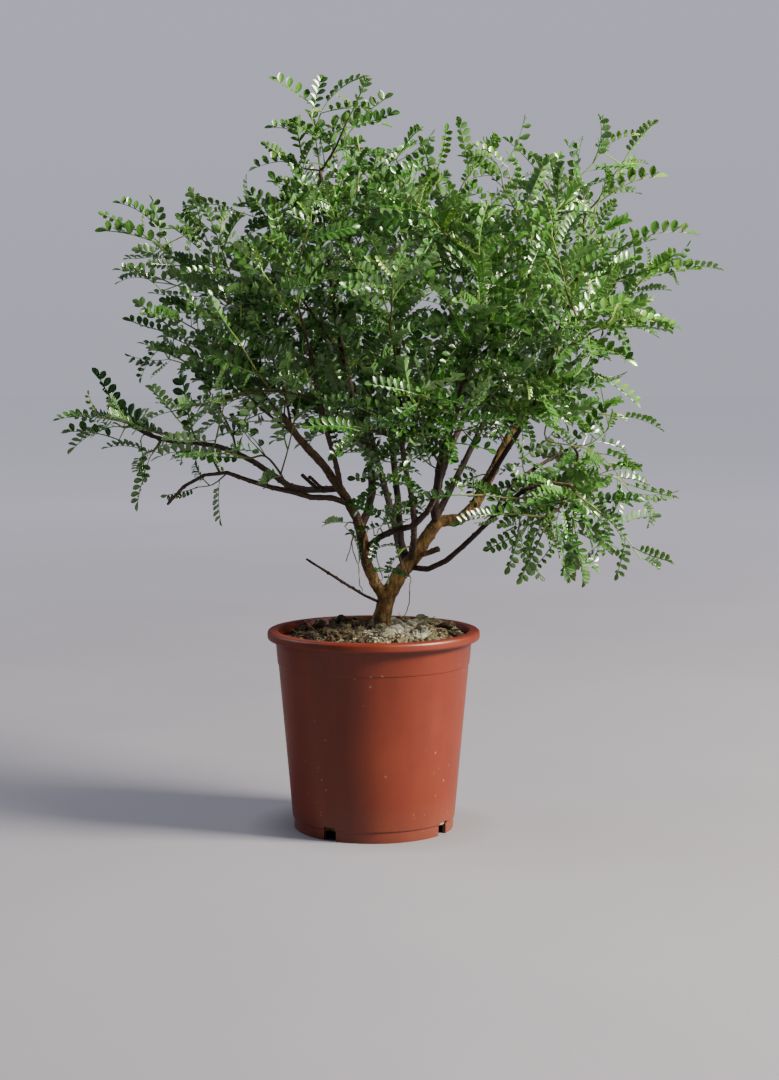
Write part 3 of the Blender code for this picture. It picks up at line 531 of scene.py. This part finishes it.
def bark(name, colors, pits, pit_color):
    """Bark with long shallow furrows, blotches and small pale lenticels across the grain."""
    made, tree, shader = material(name, 0.78, 1.4)
    # Dry cork, matt all over. The wood is darker on the left stem, on the tops and round the cut stub.
    place = place_in(tree)
    furrows = noise_at(tree, stretched(tree, place, 0.22), 420, 5, Roughness=0.65)
    both = maths(tree, "ADD", furrows, noise_at(tree, place, 75, 3))
    tone = ramp(tree, maths(tree, "MULTIPLY", both, 0.5), *colors)
    cells = node(tree, "ShaderNodeTexVoronoi", {"Vector": stretched(tree, place, 1.9), "Scale": pits})
    pore = ranged(tree, cells.outputs["Distance"], 0.26, 0.12, 0, 0.55)
    spot = node(tree, "ShaderNodeSeparateXYZ", {"Vector": place}).outputs
    # Darkening: the left stem from 20 cm up, all wood from 29 cm up (fully from 42 cm), and round the cut
    # stub.
    aside = ranged(tree, spot["X"], 0.004, -0.010)
    left = maths(tree, "MULTIPLY", aside, ranged(tree, spot["Z"], 0.196, 0.216))
    upper = maths(tree, "MAXIMUM", left, ranged(tree, spot["Z"], 0.29, 0.42))
    stub = node(tree, "ShaderNodeVectorMath", {0: place, 1: STUB_END}, operation="DISTANCE")
    old = maths(tree, "MAXIMUM", upper, ranged(tree, stub.outputs["Value"], 15 * MM, 10 * MM))
    darkened_wood = blended(tree, maths(tree, "MULTIPLY", old, 0.85), tone, hex_color("#3E3024"))
    tree.links.new(blended(tree, pore, darkened_wood, hex_color(pit_color)), shader["Base Color"])
    roughen(tree, shader, maths(tree, "ADD", furrows, pore), 0.7, 0.0007)
    return made


GOLDEN_BARK = bark("golden_olive_bark", (
    (0.34, "#33251A"), (0.46, "#614A2A"), (0.56, "#8E7040"), (0.68, "#B69A60")), 400, "#C0AA7C")
DARK_BARK = bark("dark_grey_brown_bark", (
    (0.34, "#1C1613"), (0.46, "#322722"), (0.56, "#473A32"), (0.70, "#62544A")), 380, "#7C6C5C")

stems = grown_wood(STEMS, "trunk_and_stems", GOLDEN_BARK, 0.8 * MM, 60, 1.0, "trunk_bark")
limbs = grown_wood(LIMBS, "limbs", DARK_BARK, 0.85 * MM, 420, 0.35, "limb_bark")
grown_wood([DEAD_TWIG], "dead_twig_wood", DARK_BARK, 0.45 * MM, 8, 0.25, "limb_bark")

# ---------------------------------------------------------------- the compound leaves
# Each leaf is odd-pinnate: a thin winged midrib that arches, four to seven pairs of small glossy
# obovate leaflets that tilt up from it, and one at the end. Young leaves are lighter and yellower.

GLOSSY_LEAF, green, shader = material("glossy_leaflet", 0.30, 1.48)
# A waxy leaf: a clear sheen on top, a paler matt underside, a light midrib line, and a tone that runs
# from deep green on old leaves to yellow-green on new ones, plus painted light: leaves are painted lighter
# high up, outside and on the right of the crown, and darker, as painted shade, inside it and on the left.
cloud = maths(green, "MULTIPLY", noise_at(green, place_in(green), 240, 2), 0.16)
leafy = ramp(green, maths(green, "ADD", carried(green, "youth_and_light"), cloud), (0.10, "#173511"),
             (0.36, "#28551B"), (0.60, "#447A2A"), (0.82, "#78A440"), (1.0, "#ACC464"))
blade = node(green, "ShaderNodeUVMap", uv_map="blade").outputs["UV"]
across = node(green, "ShaderNodeSeparateXYZ", {"Vector": blade}).outputs["X"]
from_middle = maths(green, "ABSOLUTE", maths(green, "SUBTRACT", across, 0.5))
ribbed = blended(green, ranged(green, from_middle, 0.07, 0.02, 0, 0.45), leafy, hex_color("#8FB85A"))
beneath = carried(green, "beneath")
sided = blended(green, maths(green, "MULTIPLY", beneath, 0.55), ribbed, hex_color("#5F8A4A"))
green.links.new(sided, shader["Base Color"])
green.links.new(ranged(green, beneath, 0, 1, 0.28, 0.6), shader["Roughness"])
shader["Coat Weight"].default_value = 0.6
shader["Coat Roughness"].default_value = 0.16
shader["Subsurface Weight"].default_value = 0.12
shader["Subsurface Radius"].default_value = (0.6, 1.0, 0.25)
shader["Subsurface Scale"].default_value = 0.0012

TWIG_BARK, bark_tree, shader = material("green_brown_twig", 0.6, 1.4)
# New twigs are green and go brown and then grey-brown towards the limb.
speck = noise_at(bark_tree, place_in(bark_tree), 500, 3)
age = maths(bark_tree, "ADD", maths(bark_tree, "MULTIPLY", speck, 0.3), carried(bark_tree, "youth_and_light"))
bark_tree.links.new(ramp(bark_tree, age, (0.10, "#2C231A"), (0.45, "#4C4028"), (0.70, "#5E6A30"),
                         (1.0, "#7F9A44")), shader["Base Color"])
roughen(bark_tree, shader, speck, 0.5, 0.0003)

# The half-width of a leaflet at places along it, as a share of its length: narrow foot, broad blunt end.
LEAFLET_OUTLINE = ((0, 0.03), (0.18, 0.19), (0.42, 0.30), (0.67, 0.32), (0.87, 0.21), (1, 0.03))


def leaflet_mesh():
    """One leaflet of unit length along +Y: two crossed-over sheets closed along their edge."""
    bm = bmesh.new()
    uv = bm.loops.layers.uv.new("blade")
    bm.faces.layers.float.new("beneath")
    bm.faces.layers.float.new("youth_and_light")
    rows = len(LEAFLET_OUTLINE) - 1
    bmesh.ops.create_grid(bm, x_segments=2, y_segments=rows, size=0.5)
    for vertex in bm.verts:
        row = round((vertex.co.y + 0.5) * rows)
        side = round(vertex.co.x * 2)
        for loop in vertex.link_loops:
            loop[uv].uv = (side * 0.5 + 0.5, row / rows)
        along, half = LEAFLET_OUTLINE[row]
        cup = 0.10 * half * 3 * abs(side) - 0.10 * along ** 2
        vertex.co = (side * half, along + (0.03 if side == 0 and row == rows else 0), cup)
    top = bm.faces[:]
    under = bmesh.ops.duplicate(bm, geom=bm.faces[:])["geom"]
    under = [item for item in under if isinstance(item, bmesh.types.BMFace)]
    bmesh.ops.reverse_faces(bm, faces=under)
    layer = bm.faces.layers.float["beneath"]
    for face in under:
        face[layer] = 1
    for vertex in {vertex for face in under for vertex in face.verts}:
        if abs(vertex.co.x) < 0.001:
            vertex.co.z -= 0.035
    bmesh.ops.remove_doubles(bm, verts=bm.verts, dist=0.0001)
    mesh = bpy.data.meshes.new("leaflet")
    bm.to_mesh(mesh)
    bm.free()
    return mesh


LEAFLET = leaflet_mesh()


def arch(share, rise):
    """A place along a leaf's midrib, which is 1 long from foot to tip and arches by rise."""
    return Vector((0, share, rise * 4 * share * (1 - share)))


def compound_leaf(pairs, rise, fold, spread):
    """A whole leaf of unit length along +Y, with its face towards +Z."""
    bm = bmesh.new()
    uv = bm.loops.layers.uv.new("blade")
    beneath = bm.faces.layers.float.new("beneath")
    youth_and_light_layer = bm.faces.layers.float.new("youth_and_light")
    end = 0.85
    path = [arch(end * step / 6, rise) for step in range(7)]
    add_tube(bm, path, [0.017 - 0.0012 * step for step in range(7)], 4)
    for vertex in bm.verts:
        middle = arch(vertex.co.y, rise).z
        vertex.co.z = middle + (vertex.co.z - middle) * 0.55
    for face in bm.faces:
        face[beneath] = 0.5
        face[youth_and_light_layer] = 0.25
        for loop in face.loops:
            loop[uv].uv = (0, 0)
    first = 0.20
    blades = [(end - 0.01, 0, 0.17)]
    for pair in range(pairs):
        share = first + (end - 0.05 - first) * pair / (pairs - 1)
        size = (0.175 - 0.035 * abs(pair / (pairs - 1) - 0.55) * 2) * (1.12 if pairs < 6 else 1.0)
        for side in (-1, 1):
            offset = 0.012 * side * growth.uniform(0, 1)
            blades.append((share + offset, side, size * growth.uniform(0.9, 1.08)))
    for share, side, size in blades:
        copy = LEAFLET.copy()
        tilt = 0 if side == 0 else fold + growth.uniform(-0.16, 0.16)
        turn = side * (spread - 0.35 * share) + growth.uniform(-0.10, 0.10)
        slope = -4 * rise * (2 * share - 1) * cos(turn)
        seat = Matrix.Translation(arch(share, rise)) @ Matrix.Rotation(-turn, 4, "Z") \
            @ Matrix.Rotation(slope * 0.8 + tilt, 4, "X") @ Matrix.Rotation(-side * 0.2, 4, "Y")
        copy.transform(seat @ Matrix.Diagonal((size, size, size, 1)))
        shade = copy.attributes["youth_and_light"].data
        shade.foreach_set("value", [growth.uniform(-0.09, 0.09)] * len(shade))
        bm.from_mesh(copy)
        bpy.data.meshes.remove(copy)
    mesh = bpy.data.meshes.new("compound_leaf")
    for face in bm.faces:
        face.material_index = 1
        face.smooth = True
    bm.to_mesh(mesh)
    bm.free()
    return mesh


LEAVES = [compound_leaf(pairs, rise, fold, spread) for pairs, rise, fold, spread in (
    (5, 0.05, 0.60, 1.25), (5, 0.08, 0.85, 1.15), (5, -0.03, 0.35, 1.25), (6, 0.10, 0.75, 1.15),
    (6, 0.04, 0.50, 1.2), (6, 0.13, 1.00, 1.1), (7, 0.09, 0.65, 1.15), (7, 0.05, 0.90, 1.1),
    (5, 0.12, 1.05, 1.1), (6, -0.04, 0.60, 1.2), (7, 0.12, 0.45, 1.2), (4, 0.09, 0.80, 1.15))]


def add_leaf(bm, foot, along, face_up, length, youth_and_light):
    """Puts one compound leaf into the spray."""
    side = along.cross(face_up).normalized()
    top = side.cross(along).normalized()
    seat = Matrix((side, along, top)).transposed().to_4x4()
    seat.translation = foot
    copy = growth.choice(LEAVES).copy()
    hand = growth.choice((-1, 1))
    copy.transform(seat @ Matrix.Diagonal((hand * length, length, length, 1)))
    if hand < 0:
        copy.flip_normals()
    shade = copy.attributes["youth_and_light"].data
    values = [0.0] * len(shade)
    shade.foreach_get("value", values)
    shade.foreach_set("value", [min(1, max(0, value + youth_and_light)) for value in values])
    bm.from_mesh(copy)
    bpy.data.meshes.remove(copy)

# ---------------------------------------------------------------- the leafy sprays
# A spray is a thin twig with side twigs, and a leaf at every node. Each stands for one CAD spray, whose
# leaf outlines give the place, turn and length of its main leaves; smaller leaves fill in between them.

SHORT_LINK = 3.2 * MM
GOLDEN_ANGLE = radians(137.5)


def surface_of(piece):
    """The piece's surface, for finding the nearest point on it."""
    return BVHTree.FromPolygons([vertex.co.copy() for vertex in piece.data.vertices],
                                [tuple(face.vertices) for face in piece.data.polygons])


WOOD = surface_of(limbs), surface_of(stems)


def nearest_wood(place):
    """The nearest point of the stems' and limbs' surface, its outward normal and how far it is."""
    found = [surface.find_nearest(place) for surface in WOOD]
    spot, normal, _, distance = min(found, key=lambda item: item[3])
    return spot, normal, distance


def leaf_outlines(bm):
    """The foot, direction, face and length of each leaf in a CAD spray, and the corners that it uses."""
    found, used = [], set()
    for tip in bm.verts:
        if len(tip.link_edges) != 4:
            continue
        ring = [edge.other_vert(tip) for edge in tip.link_edges]
        middle = sum((corner.co for corner in ring), Vector()) / 4
        reach = [(corner.co - middle).length for corner in ring]
        if not (4 * MM < min(reach) and max(reach) < 11 * MM and max(reach) - min(reach) < 0.4 * MM):
            continue
        along = tip.co - middle
        near = min(ring[1:], key=lambda corner: (corner.co - ring[0].co).length)
        top = (near.co - ring[0].co).normalized()
        if not 10 * MM < along.length < 45 * MM or abs(top.dot(along.normalized())) > 0.2:
            continue
        length = along.length / 0.55
        along.normalize()
        if top.z < 0:
            top.negate()
        found.append((middle - along * length * 0.45, along, top, length))
        used |= {tip, *ring}
    return found, used


def twig_nodes(bm, used):
    """The nodes of a CAD spray's twigs, and which of them are joined."""
    group = {vertex: vertex for vertex in bm.verts if vertex not in used}

    def top_of(vertex):
        while group[vertex] is not vertex:
            vertex = group[vertex]
        return vertex

    inner = [edge.verts for edge in bm.edges if edge.verts[0] in group and edge.verts[1] in group]
    for one, other in inner:
        if (one.co - other.co).length < SHORT_LINK:
            group[top_of(one)] = top_of(other)
    members = {}
    for vertex in group:
        members.setdefault(top_of(vertex), []).append(vertex.co)
    places = {key: sum(spots, Vector()) / len(spots) for key, spots in members.items() if len(spots) > 3}
    links = {(top_of(one), top_of(other)) for one, other in inner}
    return places, [link for link in links if link[0] is not link[1] and all(key in places for key in link)]


def smooth_path(points, steps):
    """Points along a Catmull-Rom curve through the given ones."""
    ends = [2 * points[0] - points[1], *points, 2 * points[-1] - points[-2]]
    path = []
    for before, start, end, after in zip(ends, ends[1:], ends[2:], ends[3:]):
        for step in range(steps):
            t = step / steps
            path.append(0.5 * (2 * start + (end - before) * t
                               + (2 * before - 5 * start + 4 * end - after) * t ** 2
                               + (3 * start - before - 3 * end + after) * t ** 3))
    path.append(points[-1].copy())
    return path


def twig_paths(places, links):
    """The main twig from the limb outwards, then each side twig, as chains of places."""
    root = min(places, key=lambda key: nearest_wood(places[key])[2])
    onward = {root: []}
    both = sorted(links + [link[::-1] for link in links],
                  key=lambda link: (places[link[0]] - places[link[1]]).length)
    while True:
        new = next((link for link in both if link[0] in onward and link[1] not in onward), None)
        if new is None:
            break
        onward[new[0]].append(new[1])
        onward[new[1]] = []

    def reach(key):
        return max([(places[key] - places[on]).length + reach(on) for on in onward[key]] or [0])

    chains, waiting = [], [(None, root)]
    while waiting:
        before, key = waiting.pop(0)
        chain = [places[before]] if before else []
        while key:
            chain.append(places[key])
            ahead = sorted(onward[key], key=reach, reverse=True)
            waiting += [(key, on) for on in ahead[1:]]
            key = ahead[0] if ahead else None
        if len(chain) > 1:
            chains.append((before is None, chain))
    return chains


def leaf_bmesh():
    """An empty bmesh with what a leaf carries, and its layer for how young each face is, with painted light
    added on leaves.
    """
    bm = bmesh.new()
    bm.loops.layers.uv.new("blade")
    bm.faces.layers.float.new("beneath")
    return bm, bm.faces.layers.float.new("youth_and_light")


def around(direction, turn):
    """A unit vector square to the direction: 0 is level to its side, a quarter turn is upward."""
    side = direction.cross(UP)
    if side.length < 0.05:
        side = direction.cross(Vector((0, -1, 0)))
    side.normalize()
    return side * cos(turn) + side.cross(direction) * sin(turn)


def stray(reach):
    """A random step in any direction."""
    return Vector([growth.uniform(-reach, reach) for _ in range(3)])


def towards_light(place, lean, along):
    """Which way a leaf's face turns: up and out of the crown, no two quite alike."""
    out = Vector((place.x, place.y, 0)) / 0.18
    facing = lean + out * 0.6 + stray(0.55)
    if abs(facing.normalized().dot(along)) > 0.9:
        facing = along.cross(Vector((growth.uniform(-1, 1), growth.uniform(-1, 1), 0)))
    return facing


def grow_leaf(bm, path, share, turn, length, youth_and_light):
    """A leaf from a place along a twig, spread to the side and tilted to the light."""
    index = min(len(path) - 2, int(share * (len(path) - 1)))
    part = share * (len(path) - 1) - index
    foot = path[index].lerp(path[index + 1], part)
    tangent = (path[index + 1] - path[index]).normalized()
    out = around(tangent, turn)
    rise = around(tangent, pi / 2)
    out = (out - rise * out.dot(rise) * 0.6 * (1 - abs(tangent.z)) + rise * 0.2).normalized()
    angle = growth.uniform(0.75, 1.2)
    along = (tangent * cos(angle) + out * sin(angle) - UP * growth.uniform(0, 0.25)).normalized()
    add_leaf(bm, foot, along, towards_light(foot, tangent * 0.35 + UP * 0.5, along), length, youth_and_light)


def sunlit(place):
    """How young and bright leaves are at a place, the brightness being painted light: more so high up,
    outside and to the right.
    """
    out = Vector((place.x, place.y)).length / 0.25
    return 0.12 + 0.26 * min(1, max(0, (place.z - 0.26) / 0.36)) + 0.12 * out + 0.35 * place.x


def fullness(place):
    """How thickly small leaves fill in at a place: fully inside the crown, thinly at its edge."""
    out = Vector(((place.x - 0.055) / 0.175, place.y / 0.19, (place.z - 0.45) / 0.15)).length
    low = Vector(((place.x - 0.165) / 0.045, place.y / 0.07, (place.z - 0.275) / 0.045)).length
    return 0.10 + 0.90 * min(1, max(0, (1.10 - min(out, low)) / 0.35))


twig_places = []


def grow_spray(name):
    """One leafy spray in place of the named CAD node."""
    cad = cad_copy(name)
    outlines, used = leaf_outlines(cad)
    chains = twig_paths(*twig_nodes(cad, used))
    cad.free()
    bm, youth_and_light_layer = leaf_bmesh()
    for main, chain in chains:
        if main:
            chain = [nearest_wood(chain[0])[0] + (chain[0] - chain[1]).normalized() * MM, *chain[1:]]
        path = smooth_path(chain, 4)
        twig_places.extend(path)
        thick, thin = (1.15 * MM, 0.55 * MM) if main else (0.8 * MM, 0.45 * MM)
        shares = [index / (len(path) - 1) for index in range(len(path))]
        add_tube(bm, path, [thick + (thin - thick) * share for share in shares], 6, youth_and_light_layer,
                 [(0.1 if main else 0.35) + 0.6 * share for share in shares])
        turn = growth.uniform(0, 2 * pi)
        between = len(chain) - 1
        for gap in range(between):
            for part in (0.2, 0.45, 0.75):
                share = (gap + part + growth.uniform(-0.1, 0.1)) / between
                turn += GOLDEN_ANGLE
                if main and share < 0.22 or growth.random() > fullness(path[round(share * (len(path) - 1))]):
                    continue
                grow_leaf(bm, path, share, turn, growth.uniform(32, 54) * MM,
                          sunlit(path[0]) + growth.uniform(-0.12, 0.12))
        grow_leaf(bm, path, 0.97, turn + 2, growth.uniform(18, 28) * MM, sunlit(path[-1]) + 0.35)
    for foot, along, top, length in outlines:
        tip = foot + along * length
        add_leaf(bm, foot - along * 0.4 * MM, along, towards_light(foot, top * 0.7, along), length,
                 sunlit(tip) + growth.uniform(-0.12, 0.14))
    return piece_from(bm, name.replace("_spray_", "_shoot_"), [TWIG_BARK, GLOSSY_LEAF], "leaf_green", [name])


for name in sorted(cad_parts):
    if "_spray_" in name:
        grow_spray(name)

# ---------------------------------------------------------------- the inner shoots
# Short leafy shoots straight off the limbs, which fill the crown between the long sprays. They are the
# tree's own new growth and carry smaller leaves, and none grow on the low bare wood below 30 cm.


def grow_inner_shoots(limb):
    """Short shoots scattered over one limb."""
    cad = cad_copy(limb)
    bmesh.ops.subdivide_edges(cad, edges=cad.edges, cuts=1)
    cad.normal_update()
    high = [(vertex.co.copy(), vertex.normal.copy()) for vertex in cad.verts if vertex.co.z > 0.30]
    cad.free()
    bm, youth_and_light_layer = leaf_bmesh()
    made = 0
    for _ in range(round(len(high) / 16)):
        start, normal = growth.choice(high)
        if growth.random() > fullness(start):
            continue
        leaving = (normal + UP * 0.45 + Vector((start.x, start.y, 0)) / 0.5).normalized()
        length = growth.uniform(24, 52) * MM
        bend = UP * length * 0.25 + stray(0.1) * length
        path = smooth_path([start - normal * MM, start + leaving * length * 0.5,
                            start + leaving * length + bend], 3)
        twig_places.extend(path)
        shares = [index / (len(path) - 1) for index in range(len(path))]
        add_tube(bm, path, [(0.75 - 0.3 * share) * MM for share in shares], 5, youth_and_light_layer,
                 [0.3 + 0.6 * share for share in shares])
        turn = growth.uniform(0, 2 * pi)
        leaves = round(length / (9 * MM))
        for index in range(leaves):
            turn += GOLDEN_ANGLE
            grow_leaf(bm, path, (index + 0.8) / leaves * 0.98, turn, growth.uniform(28, 46) * MM,
                      sunlit(start) + growth.uniform(-0.15, 0.1))
        made += 1
    if made:
        piece_from(bm, limb + "_inner_shoots", [TWIG_BARK, GLOSSY_LEAF], "leaf_green")
    else:
        bm.free()


for name in (*STEMS, *LIMBS):
    grow_inner_shoots(name)

# ---------------------------------------------------------------- the single shoots
# Shoots that give the tree its outline: small ones low on the old wood, a hanging bunch at the end of the
# low right branch, the ones that stand up from the top, and the long outermost leaves. They grow from the
# nearest twig or limb.

# The places that each shoot goes through in mm, how many leaves it has, and their length in mm.
SHOOTS = (
    (((-24, -20, 258),), 2, 32), (((20, -26, 234),), 3, 32), (((10, -20, 222),), 2, 28),
    (((30, -14, 272),), 4, 34), (((10, -28, 262),), 4, 34), (((4, -24, 256),), 2, 30),
    (((84, 2, 296),), 3, 34), (((12, -6, 268),), 3, 34),
    (((139, -20, 290), (160, -20, 294), (189, -20, 264)), 9, 46),
    (((139, -40, 288), (146, -40, 265), (152, -40, 242)), 8, 44),
    (((155, 10, 290), (182, 10, 280), (192, 10, 237)), 10, 46),
    (((159, 20, 293), (201, 20, 298), (227, 20, 275)), 8, 42),
    (((136, -10, 286), (131, -10, 263), (123, -10, 246)), 6, 42),
    (((144, -30, 331), (183, -30, 321), (211, -30, 293)), 8, 44),
    (((180, -30, 277), (206, -30, 254), (222, -30, 232)), 6, 42),
    (((145, 0, 279), (167, 0, 260), (173, 0, 236)), 8, 46),
    (((109, 0, 537), (105, 0, 554), (97, 0, 564)), 5, 44),
    (((47, -20, 535), (55, -20, 548), (48, -20, 556)), 5, 44),
    (((73, 30, 539), (81, 30, 551), (88, 30, 562)), 5, 44),
    (((22, 10, 554), (19, 10, 562), (24, 10, 570)), 4, 40),
    (((157, 20, 538), (178, 20, 554), (190, 20, 568)), 5, 44),
    (((-61, 0, 557), (-51, 0, 578), (-43, 0, 601)), 3, 44))
# The foot and the tip of each of the outermost leaves, in mm.
OUTER_LEAVES = (
    ((-43, 0, 601), (-3, 0, 630)), ((-43, 0, 600), (-86, 0, 629)), ((-46, 0, 579), (-90, 0, 588)),
    ((-44, -10, 583), (16, -10, 587)), ((-55, -10, 557), (-103, -10, 551)), ((190, 20, 570), (224, 20, 584)),
    ((112, 0, 555), (80, 0, 575)), ((190, 20, 528), (247, 20, 550)), ((209, 30, 489), (276, 30, 501)),
    ((216, 20, 460), (277, 20, 473)), ((208, 0, 438), (258, 0, 423)), ((188, 0, 383), (224, 0, 356)),
    ((-175, 10, 491), (-233, 10, 504)), ((-178, 0, 504), (-217, 0, 527)), ((-176, 0, 453), (-218, 0, 471)),
    ((-163, -20, 418), (-207, -20, 431)), ((-176, -20, 406), (-193, -20, 377)),
    ((-221, 60, 326), (-272, 60, 333)), ((-202, 50, 327), (-198, 50, 290)))


def nearest_growth(place):
    """The nearest point of any limb or twig that has grown so far."""
    spot, _, distance = nearest_wood(place)
    twig = min(twig_places, key=lambda other: (other - place).length)
    return spot if distance < (twig - place).length else twig


def grow_single_shoots():
    """All the single shoots and the outermost leaves, in one piece."""
    bm, youth_and_light_layer = leaf_bmesh()
    for points, leaves, length in SHOOTS:
        points = [Vector(point) * MM for point in points]
        start = nearest_growth(points[0])
        if len(points) == 1:
            points.insert(0, start.lerp(points[0], 0.5) + UP * 2 * MM)
        path = smooth_path([start, *points], 4)
        add_tube(bm, path, [(0.8 - 0.35 * index / len(path)) * MM for index in range(len(path))], 5, youth_and_light_layer,
                 [0.4 + 0.4 * index / len(path) for index in range(len(path))])
        turn = growth.uniform(0, 2 * pi)
        for index in range(leaves):
            turn += GOLDEN_ANGLE
            share = 0.2 + 0.78 * (index + 1) / leaves
            grow_leaf(bm, path, share, turn, length * growth.uniform(0.8, 1.15) * MM,
                      sunlit(path[-1]) + growth.uniform(-0.1, 0.15))
    for foot, tip in OUTER_LEAVES:
        foot, tip = Vector(foot) * MM, Vector(tip) * MM
        start = nearest_growth(foot)
        along = (tip - foot).normalized()
        if (foot - start).length > MM:
            path = smooth_path([start, start.lerp(foot, 0.5) + UP * MM, foot + along * MM], 3)
            add_tube(bm, path, [(0.7 - 0.3 * index / len(path)) * MM for index in range(len(path))], 5, youth_and_light_layer,
                     [0.8] * len(path))
        facing = (UP * 0.8 + Vector((0, -0.45, 0)) + along.cross(UP) * growth.uniform(-0.3, 0.3)).normalized()
        add_leaf(bm, foot, along, facing, (tip - foot).length, sunlit(tip) + growth.uniform(0, 0.25))
    return piece_from(bm, "single_shoots", [TWIG_BARK, GLOSSY_LEAF], "leaf_green")


grow_single_shoots()

# ---------------------------------------------------------------- the hanging dried threads
# Dried roots and old leaf midribs that caught in the fork and hang down, thin, brown and kinked.

THREADS = (((-16, -12, 254), (-18, -14, 240), (-13, -15, 226), (-12, -14, 210), (-9, -14, 203)),
           ((-17, -12, 250), (-20, -13, 238), (-23, -14, 228)),
           ((-1, -14, 262), (1, -16, 246), (3, -15, 230), (7, -16, 214), (1, -17, 206)),
           ((-4, -16, 256), (-8, -18, 244), (-6, -17, 234)),
           ((27, -12, 226), (31, -16, 214), (30, -18, 203), (29, -18, 190), (23, -20, 180), (14, -22, 176)),
           ((20, -10, 240), (24, -14, 226), (28, -15, 214)))
bm = bmesh.new()
for points in THREADS:
    path = smooth_path([Vector(point) * MM for point in points], 4)
    path = [place + stray(0.5) * MM for place in path]
    add_tube(bm, path, [(0.52 - 0.16 * index / len(path)) * MM for index in range(len(path))], 5)
piece_from(bm, "hanging_threads", [STRAW], "limb_bark")
